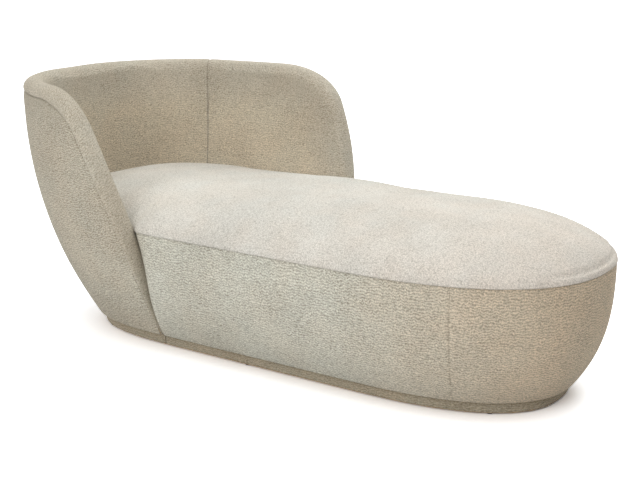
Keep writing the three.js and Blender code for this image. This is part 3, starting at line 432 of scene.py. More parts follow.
def make_inside(places, z, walk, seam):
    rows, columns = places.shape
    spots, heights = places[walk[:, 0], walk[:, 1]], z[walk[:, 0], walk[:, 1]]
    edge = back_point(spots, heights, 0.0)
    along = np.empty_like(edge)
    along[1:-1] = edge[2:] - edge[:-2]
    along[0], along[-1] = edge[1] - edge[0], edge[-1] - edge[-2]
    _, _, nx, ny = outline(spots)
    normal = np.stack([nx, ny, np.zeros_like(nx)], axis=-1)
    off_edge = np.cross(along, normal)
    off_edge /= np.linalg.norm(off_edge, axis=-1, keepdims=True)
    first = int(np.argmin(np.abs(z[:, 0] - CORE_BOTTOM)))
    whole = weave_of(back_point(places, z, wall_at(z)), SEAM_COLUMN)
    cloth, face_weave = whole[walk[:, 0], walk[:, 1]], whole[first:]
    way_up = off_edge[:, 2]
    way_out = np.sqrt(1 - way_up ** 2) * np.where(walk[:, 1] < SEAM_COLUMN, -1, 1)
    cloth_way = np.stack([way_out, way_up, np.zeros_like(way_up)], axis=-1)
    skins = []
    for skin in (0.0, HIDDEN_INNER):
        over = rim_section(spots, heights, skin, off_edge)
        face = back_point(places[first:], z[first:], wall_at(z[first:]) - skin)
        skins.append((over, face))
    (over, face), (over_back, face_back) = skins
    across = run_length(over, 1)
    top = int(np.nonzero((walk[:, 0] == rows - 1) & (walk[:, 1] == SEAM_COLUMN))[0][0])
    inner_line = np.concatenate([dense(face[:, SEAM_COLUMN]), dense(over[top])])
    halves = {"near": (0, SEAM_COLUMN, 0, top), "far": (SEAM_COLUMN, columns - 1, top, len(walk) - 1)}
    for name, (c0, c1, w0, w1) in halves.items():
        index, front, back, weave = {}, [], [], []

        def vertex(key, a, b, w):
            if key not in index:
                index[key] = len(front)
                front.append(a)
                back.append(b)
                weave.append(w)
            return index[key]

        def grid_vertex(r, c):
            return vertex(("face", r, c), face[r, c], face_back[r, c], face_weave[r, c])

        def rim_vertex(i, lane):
            r, c = walk[i]
            if lane == RIM_LANES - 1 and r >= first:
                return grid_vertex(r - first, c)
            w = cloth[i] + cloth_way[i] * (across[i, -1] - across[i, lane])
            return vertex(("rim", i, lane), over[i, lane], over_back[i, lane], w)

        faces = []
        for r in range(rows - first - 1):
            for c in range(c0, c1):
                faces.append(tuple(grid_vertex(*k) for k in ((r, c), (r, c + 1), (r + 1, c + 1), (r + 1, c))))
        for i in range(w0, w1):
            for lane in range(RIM_LANES - 1):
                corners = ((i, lane), (i, lane + 1), (i + 1, lane + 1), (i + 1, lane))
                faces.append(tuple(rim_vertex(*k) for k in corners))
        front, back, weave = np.array(front), np.array(back), np.array(weave)
        to_rim, to_inner = distance_to(front, seam), distance_to(front, inner_line)
        weave[:, 2] = np.where(to_inner < INNER_SEAM_REACH, to_inner, to_rim)
        dip = np.maximum(seam_dip(to_rim, RIM_SEAM), seam_dip(to_inner, INNER_SEAM))
        dip = dip + waves(front, *INNER_WAVES)
        front = drawn_in(front, back, np.minimum(dip, INNER_DIP_LIMIT))
        points, solid = thickened(front, back, faces)
        piece = make_object(f"back_inner_upholstery_{name}", points, solid, np.concatenate([weave, weave]))
        nodes = [f"back_inner_cover_{name}", f"back_inner_pad_{name}", f"back_rim_roll_{name}"]
        free = np.minimum(np.minimum(to_rim, to_inner), front[:, 2] - CORE_BOTTOM)
        nodes += ["back_inner_pad_head"] if name == "near" else []
        finish_soft(piece, nodes, look="back_inside", puff=(held_behind(free), *INNER_PUFF))


# Seat

TIP, SIDE, NOTCH, TUB = 0, 1, 2, 3
TUCK_START, TUCK_RUN, TUCK_Y, TUCK_HALF = 740.0, 110.0, 60.0, 310.0
TUCK_REACH, TUCK_WIDTH, TUCK_DEPTH = 21.0, 6.0, 7.0
TUCK_STEPS = (0.0, 0.002, 0.006, 0.013, 0.022, 0.032, 0.041, 0.049, 0.056, 0.064, 0.074, 0.09)
DOME_START, DOME_END, DOME_STEPS, DOME_SOFT = 0.11, 0.975, 37, 60.0
UNDER_SHARES, UNDER_DROP = (0.0, 0.35, 0.7, 0.9), 3.0
BAND_DROP, PAD_DROP = 0.8, 2.0
ZONE_STEPS = {TIP: 46, SIDE: 40, NOTCH: 16, TUB: 50}


def seat_columns():
    """Zone and share of each column round half the seat, from the foot tip to the head tip."""
    columns = [(TIP, 0.0)]
    for zone, count in ZONE_STEPS.items():
        columns += [(zone, k / count) for k in range(1, count + 1)]
    return columns


def tip_places(side):
    return even_shares(side * 3.0, side * 2.0, ZONE_STEPS[TIP])


def seat_track(wing, z, depth):
    """Points of one half ring at a height for each column; z is one value per column."""
    side = wing["side"]
    columns = seat_columns()
    zones = np.array([zone for zone, _ in columns])
    shares = np.array([share for _, share in columns])
    z = np.broadcast_to(np.asarray(z, float), shares.shape)
    rise = limit((z - PLINTH_H) / (SEAM_Z - PLINTH_H))
    face = wing_x(wing, z) + wing_bulge(z) + FIT_GAP + depth
    corner_x = face + lerp(NOTCH_BASE_R, NOTCH_TOP_R, rise)
    corner_place = place_at(seat_point, side, corner_x, z, depth)
    tips = tip_places(side)
    index = np.minimum((shares * ZONE_STEPS[TIP]).round().astype(int), ZONE_STEPS[TIP])
    out = seat_point(tips[index], z, depth)
    straight = seat_point(lerp(2 * side, corner_place, shares), z, depth)
    wall = wall_at(z) + FIT_GAP + depth
    wall_place = place_at(back_point, side, face, z, wall)
    outer, inner = seat_point(corner_place, z, depth), back_point(wall_place, z, wall)
    angle = shares * QUARTER
    notch = outer.copy()
    notch[:, 0] = outer[:, 0] + (inner[:, 0] - outer[:, 0]) * np.sin(angle)
    notch[:, 1] = inner[:, 1] + (outer[:, 1] - inner[:, 1]) * np.cos(angle)
    notch[:, 2] = z
    out[zones == SIDE] = straight[zones == SIDE]
    out[zones == NOTCH] = notch[zones == NOTCH]
    tub = np.nonzero(zones == TUB)[0]
    start = wall_place[tub[0]]
    run = even_shares(start, side * 1e-6, ZONE_STEPS[TUB])
    out[tub] = back_point(run[1:], z[tub], wall[tub])
    return out


def edge_height():
    heights = []
    for zone, share in seat_columns():
        rise = ease(min(share / TUB_RISE_SHARE, 1.0)) if zone == TUB else 0.0
        heights.append(lerp(SEAM_Z, TUB_EDGE_Z, rise))
    return np.array(heights)


def seat_ring(z, depth):
    near, far = seat_track(NEAR, z, depth), seat_track(FAR, z, depth)
    return np.concatenate([near, far[1:-1][::-1]])


def dome_ring(edge, share):
    """Ring of the dome, part of the way from the edge to the middle line of the seat."""
    head, foot = HEAD_X + WALL + WIDTH / 2, LENGTH / 2 - CROWN_END_REACH
    x = edge[:, 0]
    past_foot = np.logaddexp(0, (x - foot) / DOME_SOFT) * DOME_SOFT
    before_head = np.logaddexp(0, (head - x) / DOME_SOFT) * DOME_SOFT
    x = lerp(x, x - past_foot + before_head, share)
    slope = ease(limit((x - HEAD_X - CROWN_SLOPE_REACH) / CROWN_SLOPE_RUN))
    crown = lerp(HEAD_CROWN_Z, FOOT_CROWN_Z, slope)
    swell = (1 - (1 - share) ** CROWN_BEND) ** (1 / CROWN_EDGE_BEND)
    return np.stack([x, edge[:, 1] * (1 - share), lerp(edge[:, 2], crown, swell)], -1)


def fan(start, count):
    """Faces that close a ring from side to side."""
    faces = []
    for k in range(count // 2):
        near, far = start + k, start + (count - k) % count
        face = [near, near + 1, start + count - k - 1, far]
        faces.append(tuple(dict.fromkeys(face)))
    return [f for f in faces if len(f) > 2]


def make_seat_top():
    rim_z = edge_height()
    edge = seat_ring(rim_z, 0.0)
    count = len(edge)
    bottom = seat_ring(np.full_like(rim_z, CORE_BOTTOM), HIDDEN_CORE)
    under = seat_ring(rim_z - UNDER_DROP, HIDDEN_CORE)
    rings = [lerp(bottom, under, share) for share in UNDER_SHARES]
    rings.append(under)
    shares = np.concatenate([TUCK_STEPS, np.linspace(DOME_START, DOME_END, DOME_STEPS)])
    domes = [dome_ring(edge, share) for share in shares]
    to_edge = np.array([np.linalg.norm(d - domes[0], axis=1) for d in domes])
    tuck = limit((edge[:, 0] - TUCK_START) / TUCK_RUN)
    tuck *= limit((TUCK_HALF - np.abs(edge[:, 1] - TUCK_Y)) / TUCK_RUN)
    dip_in = seam_dip(to_edge, TOP_SEAM)
    dip_in += TUCK_DEPTH * tuck * np.exp(-((to_edge - TUCK_REACH) / TUCK_WIDTH) ** 2)
    depth, size, seed = TOP_WAVES
    for ring, dip in zip(domes, dip_in):
        reach = np.linalg.norm(ring - domes[0], axis=1)
        ring[:, 2] += depth * wobble(ring, size, seed) * limit(reach / TOP_WAVES_RUN) - dip
    rings += domes
    points = np.concatenate(rings)
    faces = grid_faces(len(rings), count, closed=True)
    faces += [tuple(reversed(f)) for f in fan(0, count)] + fan((len(rings) - 1) * count, count)
    weave = np.zeros_like(points)
    weave[-len(domes) * count:, 2] = np.concatenate([np.linalg.norm(d - domes[0], axis=1) for d in domes])
    piece = make_object("seat_top_upholstery", points, faces, weave)
    nodes = ["seat_top_cover", "seat_crown_pad", "seat_foam_core"]
    finish_soft(piece, nodes, look="seat_top", puff=(weave[:, 2], *TOP_PUFF))


def band_back(z):
    """Ring behind the band: behind the pad beside the frame, and close behind the cover elsewhere."""
    padded = (z < CORE_BOTTOM - PAD_DROP) & (z > BOARD_TOP)
    depth = np.where(padded, COVER + FIT_GAP + PAD, np.where(z < CORE_BOTTOM, COVER, HIDDEN_BAND))
    depth = np.concatenate([depth, depth[1:-1][::-1]])
    ring = np.empty((len(depth), 3))
    for level in np.unique(depth):
        at_level = depth == level
        ring[at_level] = seat_ring(z, level)[at_level]
    return ring


def make_seat_band():
    zones = [zone for zone, _ in seat_columns()]
    free = zones.index(TUB)
    rim_z = edge_height()
    shares = sampled(np.linspace(0, 1, BAND_STEPS + 1), with_support(BAND_STEPS))
    heights = [lerp(BASE_Z, rim_z - BAND_DROP, share) for share in shares]
    grids = [np.array([seat_ring(z, 0.0) for z in heights]), np.array([band_back(z) for z in heights])]
    count = grids[0].shape[1]
    order = [k % count for k in range(-free + 1, free)]
    tips = tip_places(1.0)
    seam_step = int(np.argmin(np.abs(tips - (3 - FOOT_SEAM_SHARE))))
    seams = [free - 1 - seam_step, free - 1 + seam_step]
    steps = with_support(len(order) - 1, seams)
    front, back = (sampled(grid[:, order], steps, 1) for grid in grids)
    middle, *seams = np.searchsorted(steps, [free - 1, *seams]).tolist()
    weave = weave_of(front, middle)
    rows, columns = front.shape[:2]
    flat = front.reshape(-1, 3)
    to_top = distance_to(flat, dense(front[-1]))
    to_upright = distance_to(flat, np.concatenate([dense(front[:, c]) for c in seams]))
    weave[..., 2] = np.minimum(to_top, to_upright).reshape(rows, columns)
    dip = np.maximum(seam_dip(to_top, BAND_SEAM), seam_dip(to_upright, UPRIGHT_SEAM))
    dip = flat_at_base(flat, dip + waves(flat, *BAND_WAVES))
    front = drawn_in(flat, inward(back.reshape(-1, 3), flat), dip).reshape(rows, columns, 3)
    parts = {"far": (0, seams[0]), "foot": (seams[0], seams[1]), "near": (seams[1], columns - 1)}
    for name, (c0, c1) in parts.items():
        part = np.s_[:, c0:c1 + 1]
        points, faces = thickened(
            front[part].reshape(-1, 3), back[part].reshape(-1, 3), grid_faces(rows, c1 - c0 + 1))
        cloth = np.concatenate([weave[part].reshape(-1, 3)] * 2)
        free = np.minimum(weave[part][..., 2], front[part][..., 2] - BASE_Z)
        piece = make_object(f"seat_band_upholstery_{name}", points, faces, cloth)
        puff = (held_behind(free.ravel()), *BAND_PUFF)
        finish_soft(piece, [f"seat_band_cover_{name}", f"seat_{name}_pad"], puff=puff)


def inward(back, front, reach=20.0):
    """Back points pushed well behind the front, so that a dip keeps its direction."""
    way = back - front
    return front + way / np.linalg.norm(way, axis=-1, keepdims=True) * reach


# Plinth

WRAP_HEIGHTS = np.array([5.0, 6.0, 9.0, 20.0, 32.0, 36.5, PLINTH_H])
WRAP_INSETS = np.array([1.2, 0.4, 0.0, 0.0, 0.0, 0.4, 1.2])
MODULE_GAP = 1.0
WRAP_STEPS = {"head_near": 60, "head_far": 70, "seat_near": 80, "seat_far": 80}


def make_wrap(name, places, nodes):
    """Cloth stretched round the plinth, with its edges turned in."""
    base = outline(places[None, :] * np.ones((len(WRAP_HEIGHTS), 1)))
    heights = WRAP_HEIGHTS[:, None]
    front = offset(base, -PLINTH_SETBACK - WRAP_INSETS[:, None], heights)
    back = offset(base, -PLINTH_SETBACK - COVER, heights)
    weave = weave_of(front, 0)
    weave[..., 2] = WIDTH
    points, faces = thickened(front.reshape(-1, 3), back.reshape(-1, 3), grid_faces(*front.shape[:2]))
    piece = make_object(name, points, faces, np.concatenate([weave.reshape(-1, 3)] * 2))
    finish_soft(piece, nodes, "plinth_wrap")


def make_plinth():
    def plinth_x(place, z, depth):
        return offset(outline(place), -PLINTH_SETBACK - depth, z)

    near = float(place_at(plinth_x, -1.0, HEAD_X + NEAR["reach"], PLINTH_H, 0.0))
    far = float(place_at(plinth_x, 1.0, HEAD_X + FAR["reach"], PLINTH_H, 0.0))
    half = MODULE_GAP / 2 / (FOOT_START - HEAD_START)
    head = np.concatenate([
        even_shares(near + half, -1e-6, WRAP_STEPS["head_near"]),
        even_shares(1e-6, far - half, WRAP_STEPS["head_far"])])
    make_wrap("plinth_wrap_back_cloth", head, ["plinth_wrap_back"])
    seat = np.concatenate([
        even_shares(near - half, -3, WRAP_STEPS["seat_near"]),
        even_shares(3, far + half, WRAP_STEPS["seat_far"])[1:]])
    make_wrap("plinth_wrap_seat_cloth", seat, ["plinth_wrap_seat"])


# Finish of pieces

def puffed(piece, free, pressure, cap):
    """Cloth filled by a little air: the piece swells by up to the cap between its held edges.

    free is how far each point is from the nearest held edge, in millimetres.
    """
    mesh, scene = piece.data, bpy.context.scene
    start, normal = np.empty(len(mesh.vertices) * 3), np.empty(len(mesh.vertices) * 3)
    mesh.vertices.foreach_get("co", start)
    mesh.vertices.foreach_get("normal", normal)
    normal = normal.reshape(-1, 3)
    fade = ease(limit(free / PUFF_FADE))[:, None]
    start = start.reshape(-1, 3) - normal * fade * cap * PUFF_START_SHARE * MM
    mesh.vertices.foreach_set("co", start.ravel())
    held = piece.vertex_groups.new(name="held")
    weights = (1 - limit(free / PUFF_HOLD)).round(1)
    for weight in np.unique(weights):
        held.add(np.nonzero(weights == weight)[0].tolist(), float(weight), "REPLACE")
    cloth = piece.modifiers.new("cloth", "CLOTH")
    cloth.settings.quality = PUFF_QUALITY
    cloth.settings.use_pressure = True
    cloth.settings.uniform_pressure_force = pressure
    cloth.settings.vertex_group_mass = held.name
    cloth.settings.effector_weights.gravity = 0
    cloth.collision_settings.use_collision = False
    for number in range(1, PUFF_FRAMES + 1):
        scene.frame_set(number)
    done = piece.evaluated_get(bpy.context.evaluated_depsgraph_get()).data
    end = np.empty(len(done.vertices) * 3)
    done.vertices.foreach_get("co", end)
    outward = ((end.reshape(-1, 3) - start) * normal).sum(1, keepdims=True) / MM
    swell = cap * np.tanh(outward.clip(0) / cap) * fade
    piece.modifiers.remove(cloth)
    piece.vertex_groups.remove(held)
    mesh.vertices.foreach_set("co", (start + normal * swell * MM).ravel())
    mesh.update()
    scene.frame_set(1)


def finish_soft(piece, nodes, slot="upholstery", look=None, puff=None):
    if puff:
        puffed(piece, *puff)
    piece.data.materials.append(materials[look or slot])
    smooth = piece.modifiers.new("smooth", "SUBSURF")
    smooth.levels = smooth.render_levels = 1
    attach(piece, "root")
    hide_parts(*nodes)


# Materials

class Nodes:
    """Short way to build a node material."""

    def __init__(self, name):
        self.material = bpy.data.materials.new(name)
        self.material.use_nodes = True
        self.tree = self.material.node_tree
        self.shader = self.tree.nodes["Principled BSDF"]

    def new(self, kind, inputs=None, **settings):
        node = self.tree.nodes.new(kind)
        for key, value in settings.items():
            setattr(node, key, value)
        for key, value in (inputs or {}).items():
            self.put(node.inputs[key], value)
        return node

    def put(self, socket, value):
        if isinstance(value, bpy.types.NodeSocket):
            self.tree.links.new(value, socket)
        else:
            socket.default_value = value

    def math(self, operation, a, b=0.0, c=0.0):
        node = self.new("ShaderNodeMath", operation=operation)
        for socket, value in zip(node.inputs, (a, b, c)):
            self.put(socket, value)
        return node.outputs[0]

    def mix(self, factor, a, b):
        node = self.new("ShaderNodeMix", data_type="RGBA", clamp_factor=True)
        self.put(node.inputs["Factor"], factor)
        self.put(node.inputs["A"], a)
        self.put(node.inputs["B"], b)
        return node.outputs["Result"]


def rgb(red, green, blue):
    """Linear colour from 8-bit sRGB values."""
    def linear(value):
        value /= 255
        return value / 12.92 if value <= 0.04045 else ((value + 0.055) / 1.055) ** 2.4
    return (linear(red), linear(green), linear(blue), 1.0)


def scaled(colour, red, green, blue):
    return (colour[0] * red, colour[1] * green, colour[2] * blue, 1.0)


# Chenille: patterns per metre, how far the rows stray, and how much each pattern raises the pile
ZIGZAGS, ROWS, LOOPS = 105.0, 138.0, 190.0
ROW_PHASE, ROW_WAVE, ROW_DRIFT, LOOP_SIZE = 7.0, 0.5, 2.4, 0.45
RIDGE_RISE, LOOP_RISE, GRAIN_RISE, KNOT_RISE, PILE_BASE, KNOT_BASE = 0.35, 0.75, 1.45, -0.45, 0.125, 0.28


def chenille(name, light, dark, contrast=0.85, rows=0.44, second=None, seam_shade=0.62):
    """Looped cloth: zigzag rows of small loops, uneven from loop to loop, with painted shade on the seams.

    second is a colour of painted light and shade that the light one turns into, and where: an axis or "seam", a
    start and an end.
    seam_shade is how much of the cloth's own colour is left under the painted shade on the seams.
    """
    n = Nodes(name)
    weave = n.new("ShaderNodeAttribute", attribute_name="weave").outputs["Vector"]
    cloth = n.new("ShaderNodeSeparateXYZ", {"Vector": weave}).outputs
    place = n.new("ShaderNodeTexCoord").outputs["Object"]
    body = n.new("ShaderNodeSeparateXYZ", {"Vector": place}).outputs
    drift = n.new("ShaderNodeTexNoise", {"Vector": place, "Scale": 42.0, "Detail": 2.5})
    slow = n.new("ShaderNodeTexNoise", {"Vector": place, "Scale": 16.0, "Detail": 1.0})
    phase = n.math("MULTIPLY", slow.outputs["Fac"], ROW_PHASE)
    wave = n.math("PINGPONG", n.math("MULTIPLY_ADD", cloth["X"], ZIGZAGS, phase), 1.0)
    row = n.math("MULTIPLY_ADD", cloth["Y"], ROWS, n.math("MULTIPLY", wave, ROW_WAVE))
    row = n.math("MULTIPLY_ADD", drift.outputs["Fac"], ROW_DRIFT, row)
    ridge = n.math("SINE", n.math("MULTIPLY", row, 2 * math.pi))
    along = n.new("ShaderNodeCombineXYZ", {"X": n.math("MULTIPLY", cloth["X"], LOOPS), "Y": row})
    loops = n.new("ShaderNodeTexVoronoi", {
        "Vector": along.outputs["Vector"], "Scale": 1.0, "Randomness": 0.8})
    loop = n.math("SUBTRACT", LOOP_SIZE, loops.outputs["Distance"])
    grain = n.new("ShaderNodeTexNoise", {"Vector": place, "Scale": 380.0, "Detail": 3.0, "Roughness": 0.8})
    knots = n.new("ShaderNodeTexVoronoi", {"Vector": place, "Scale": 260.0, "Randomness": 1.0})
    height = n.math("MULTIPLY_ADD", ridge, RIDGE_RISE * rows, PILE_BASE)
    height = n.math("MULTIPLY_ADD", loop, LOOP_RISE * rows, height)
    height = n.math("MULTIPLY_ADD", grain.outputs["Fac"], GRAIN_RISE, height)
    height = n.math("MULTIPLY_ADD", knots.outputs["Distance"], KNOT_RISE, n.math("ADD", height, KNOT_BASE))
    spread = n.new("ShaderNodeMapRange", {"Value": height, "From Min": 0.55, "From Max": 1.25})
    broad = n.new("ShaderNodeTexNoise", {"Vector": place, "Scale": 6.0, "Detail": 3.0})
    tone = n.new("ShaderNodeMapRange", {
        "Value": broad.outputs["Fac"], "From Min": 0.3, "From Max": 0.7, "To Min": -0.07, "To Max": 0.07})
    shade = n.math("MULTIPLY_ADD", spread.outputs["Result"], contrast, 1 - contrast)
    shade = n.math("ADD", shade, tone.outputs["Result"])
    # Painted light and shade: the light colour turns into another along an axis or away from a seam
    if second:
        other, source, start, end = second
        value = cloth["Z"] if source == "seam" else body[source]
        turned = n.new("ShaderNodeMapRange", {"Value": value, "From Min": start, "From Max": end})
        light = n.mix(turned.outputs["Result"], light, other)
    mottle = n.new("ShaderNodeTexNoise", {"Vector": place, "Scale": 10.0, "Detail": 2.0})
    hue = n.new("ShaderNodeMapRange", {"Value": mottle.outputs["Fac"], "From Min": 0.35, "From Max": 0.65})
    tint = n.mix(hue.outputs["Result"], scaled((1, 1, 1), *WARM_TINT), scaled((1, 1, 1), *COOL_TINT))
    pile = n.new("ShaderNodeMix", data_type="RGBA", blend_type="MULTIPLY")
    n.put(pile.inputs["Factor"], 1.0)
    n.put(pile.inputs["A"], n.mix(shade, dark, light))
    n.put(pile.inputs["B"], tint)
    # Painted shade: the colour darkens within a few millimetres of each seam, as the shadow in its groove
    seam = n.new("ShaderNodeMapRange", {
        "Value": cloth["Z"], "From Min": 0.0004, "From Max": 0.0026, "To Min": seam_shade, "To Max": 1.0})
    seam_shadow = scaled(dark, *SEAM_SHADOW_TINT)
    n.put(n.shader.inputs["Base Color"], n.mix(seam.outputs["Result"], seam_shadow, pile.outputs["Result"]))
    bump = n.new("ShaderNodeBump", {"Strength": 0.8, "Distance": 0.002, "Height": height})
    n.put(n.shader.inputs["Normal"], bump.outputs["Normal"])
    n.shader.inputs["Roughness"].default_value = 0.95
    n.shader.inputs["Specular IOR Level"].default_value = 0.2
    n.shader.inputs["Sheen Weight"].default_value = 0.25
    n.shader.inputs["Sheen Roughness"].default_value = 0.5
    n.shader.inputs["Sheen Tint"].default_value = rgb(235, 230, 215)
    return n.material


def wooden(name, light, dark, ring_scale):
    n = Nodes(name)
    place = n.new("ShaderNodeTexCoord").outputs["Object"]
    stretch = n.new("ShaderNodeMapping", {"Vector": place, "Scale": (2.0, 14.0, 14.0)})
    grain = n.new("ShaderNodeTexNoise", {
        "Vector": stretch.outputs["Vector"], "Scale": ring_scale,
        "Detail": 6.0, "Roughness": 0.6, "Distortion": 0.6})
    n.put(n.shader.inputs["Base Color"], n.mix(grain.outputs["Fac"], dark, light))
    rough = n.new("ShaderNodeMapRange", {"Value": grain.outputs["Fac"], "To Min": 0.55, "To Max": 0.75})
    n.put(n.shader.inputs["Roughness"], rough.outputs["Result"])
    bump = n.new("ShaderNodeBump", {"Strength": 0.15, "Distance": 0.0006, "Height": grain.outputs["Fac"]})
    n.put(n.shader.inputs["Normal"], bump.outputs["Normal"])
    return n.material


def straps(name, light, dark):
    n = Nodes(name)
    place = n.new("ShaderNodeTexCoord").outputs["Object"]
    weave = n.new("ShaderNodeTexChecker", {"Vector": place, "Scale": 500.0})
    n.put(n.shader.inputs["Base Color"], n.mix(weave.outputs["Fac"], dark, light))
    bump = n.new("ShaderNodeBump", {"Strength": 0.3, "Distance": 0.0005, "Height": weave.outputs["Fac"]})
    n.put(n.shader.inputs["Normal"], bump.outputs["Normal"])
    n.shader.inputs["Roughness"].default_value = 0.85
    return n.material


def hard(name, light, dark, metal, rough):
    n = Nodes(name)
    place = n.new("ShaderNodeTexCoord").outputs["Object"]
    specks = n.new("ShaderNodeTexNoise", {"Vector": place, "Scale": 400.0, "Detail": 3.0})
    n.put(n.shader.inputs["Base Color"], n.mix(specks.outputs["Fac"], dark, light))
    bump = n.new("ShaderNodeBump", {"Strength": 0.1, "Distance": 0.0003, "Height": specks.outputs["Fac"]})
    n.put(n.shader.inputs["Normal"], bump.outputs["Normal"])
    n.shader.inputs["Metallic"].default_value = metal
    n.shader.inputs["Roughness"].default_value = rough
    return n.material


# The warm and cool tints vary the cloth at random; the seam tint colours the painted seam shade
WARM_TINT, COOL_TINT, SEAM_SHADOW_TINT = (1.01, 0.995, 0.98), (0.99, 1.005, 1.01), (0.5, 0.45, 0.4)
# The band, the seat top and both sides of the back are one cloth: their different colours are painted light and
# shade
materials = {
    # Band: painted shade, darker and browner towards the foot end
    "upholstery": chenille(
        "chenille", rgb(231, 228, 214), rgb(129, 122, 106),
        second=(rgb(228, 203, 173), "X", 0.3, 0.88), seam_shade=0.8),
    # Outside of the back: darker as painted shade, and painted lighter towards the bottom
    "back_outside": chenille(
        "chenille_outside", rgb(209, 200, 181), rgb(117, 105, 88),
        second=(rgb(226, 219, 201), "Z", 0.6, 0.12)),
    # Seat top: painted light, a lighter and cooler copy of the cloth, turning warmer towards the foot
    "seat_top": chenille(
        "chenille_top", rgb(235, 231, 222), rgb(129, 120, 107), contrast=0.75, rows=0.0,
        second=(rgb(240, 231, 220), "X", 0.1, 0.8), seam_shade=0.8),
    # Inside of the back: darker and warmer as painted shade, and painted lighter away from the rim seam
    "back_inside": chenille(
        "chenille_inside", rgb(217, 208, 190), rgb(122, 110, 92), contrast=0.8, rows=0.25,
        second=(rgb(236, 223, 199), "seam", 0.07, 0.14)),
    "plinth_wrap": chenille("chenille_plinth", rgb(201, 189, 166), rgb(119, 107, 88), contrast=0.75),
    "plywood": wooden("plywood", rgb(214, 184, 140), rgb(176, 140, 96), 6.0),
    "timber": wooden("timber", rgb(190, 148, 100), rgb(140, 100, 62), 9.0),
    "webbing": straps("webbing", rgb(70, 68, 66), rgb(34, 33, 32)),
    "glide": hard("glide", rgb(48, 48, 50), rgb(30, 30, 32), 0.0, 0.5),
    "link_steel": hard("link_steel", rgb(200, 202, 206), rgb(170, 173, 178), 1.0, 0.38),
}


def dress_frame():
    """Better materials for the rigid pieces that keep their solids."""
    slots = {entry["node"]: entry["material_slot"] for entry in frame["record"]["subparts"]}
    for name, piece in frame["nodes"].items():
        material = materials.get(slots[name])
        if material is None:
            continue
        if not piece.data.materials:
            piece.data.materials.append(material)
        for index in range(len(piece.material_slots)):
            piece.material_slots[index].material = material


# Stage, lights and camera

TURN, LIFT = math.radians(33.9), math.radians(15.0)
DISTANCE, FOCAL = 3.3654, 1214.9
PICTURE_WIDTH, SENSOR_WIDTH, CLIP = 640, 36.0, (0.05, 60.0)
FLOOR_SIZE, FLOOR_DROP = 30.0, 0.0005
FLOOR_COLOUR, FLOOR_SEEN = (0.8, 0.8, 0.8, 1), (1.6, 1.6, 1.62, 1)
SKY_LEVEL, SKY_TOP = 0.05, 1.6
# Lamps: name, place, aim, size, power and colour
LAMPS = [
    ("rear", (0.0, 3.2, 3.0), (0, 0, 0.4), (2.4, 2.0), 74.0, (0.9, 0.97, 1.0)),
    ("top", (0.55, 0.1, 2.0), (0.3, 0, 0.4), (1.8, 1.2), 6.5, (0.96, 0.98, 1.0)),
    ("front", (0.2, -3.8, 1.8), (0.1, 0, 0.3), (2.4, 1.8), 67.0, (0.98, 0.99, 1.0)),
]
TARGET = Vector((0.041, 0.012 + SHIFT_Y * MM, 0.3023))


def make_camera():
    back = Vector((math.sin(TURN) * math.cos(LIFT), -math.cos(TURN) * math.cos(LIFT), math.sin(LIFT)))
    data = bpy.data.cameras.new("camera")
    camera = bpy.data.objects.new("camera", data)
    bpy.context.scene.collection.objects.link(camera)
    data.sensor_width = SENSOR_WIDTH
    data.lens = FOCAL / PICTURE_WIDTH * SENSOR_WIDTH
    data.clip_start, data.clip_end = CLIP
    camera.location = TARGET + back * DISTANCE
    camera.rotation_mode = "QUATERNION"
    camera.rotation_quaternion = (-back).to_track_quat("-Z", "Y")
    bpy.context.scene.camera = camera


def area_light(name, place, aim, size, power, colour):
    data = bpy.data.lights.new(name, "AREA")
    data.shape = "RECTANGLE"
    data.size, data.size_y = size
    data.energy = power
    data.color = colour
    lamp = bpy.data.objects.new(name, data)
    bpy.context.scene.collection.objects.link(lamp)
    lamp.location = place
    lamp.rotation_mode = "QUATERNION"
    lamp.rotation_quaternion = (Vector(aim) - Vector(place)).to_track_quat("-Z", "Y")


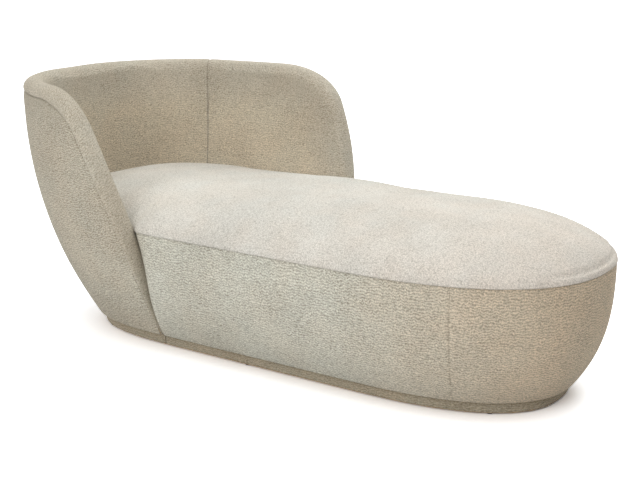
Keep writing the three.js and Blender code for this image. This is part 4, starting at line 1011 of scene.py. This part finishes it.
def make_world():
    """A sky that is brighter straight above, and plain white where the camera or a gloss sees it."""
    world = bpy.data.worlds.new("world")
    bpy.context.scene.world = world
    world.use_nodes = True
    tree = world.node_tree
    path = tree.nodes.new("ShaderNodeLightPath")
    way = tree.nodes.new("ShaderNodeTexCoord")
    axes = tree.nodes.new("ShaderNodeSeparateXYZ")
    tree.links.new(way.outputs["Generated"], axes.inputs["Vector"])

    def calculate(operation, *values):
        node = tree.nodes.new("ShaderNodeMath")
        node.operation = operation
        for socket, value in zip(node.inputs, values):
            if isinstance(value, bpy.types.NodeSocket):
                tree.links.new(value, socket)
            else:
                socket.default_value = value
        return node.outputs[0]

    above = calculate("POWER", calculate("MAXIMUM", axes.outputs["Z"], 0.0), 2.0)
    level = calculate("MULTIPLY_ADD", above, SKY_TOP, SKY_LEVEL)
    seen = calculate("MAXIMUM", path.outputs["Is Camera Ray"], path.outputs["Is Glossy Ray"])
    seen = calculate("MAXIMUM", seen, path.outputs["Is Transmission Ray"])
    strength = tree.nodes.new("ShaderNodeMix")
    tree.links.new(seen, strength.inputs["Factor"])
    tree.links.new(level, strength.inputs["A"])
    strength.inputs["B"].default_value = 1.0
    background = tree.nodes["Background"]
    background.inputs["Color"].default_value = (1, 1, 1, 1)
    tree.links.new(strength.outputs["Result"], background.inputs["Strength"])


def make_stage():
    mesh = bpy.data.meshes.new("floor")
    corners = [(x * FLOOR_SIZE, y * FLOOR_SIZE, 0) for x, y in ((-1, -1), (1, -1), (1, 1), (-1, 1))]
    mesh.from_pydata(corners, [], [(0, 1, 2, 3)])
    floor = bpy.data.objects.new("floor", mesh)
    bpy.context.scene.collection.objects.link(floor)
    floor.location.z = -FLOOR_DROP
    n = Nodes("floor")
    n.shader.inputs["Roughness"].default_value = 0.9
    path = n.new("ShaderNodeLightPath")
    seen = n.mix(path.outputs["Is Camera Ray"], FLOOR_COLOUR, FLOOR_SEEN)
    n.put(n.shader.inputs["Base Color"], seen)
    mesh.materials.append(n.material)
    make_world()
    for lamp in LAMPS:
        area_light(*lamp)
    bpy.context.scene.view_settings.view_transform = "Standard"


make_stage()
make_camera()
make_back()
make_seat_top()
make_seat_band()
make_plinth()
dress_frame()
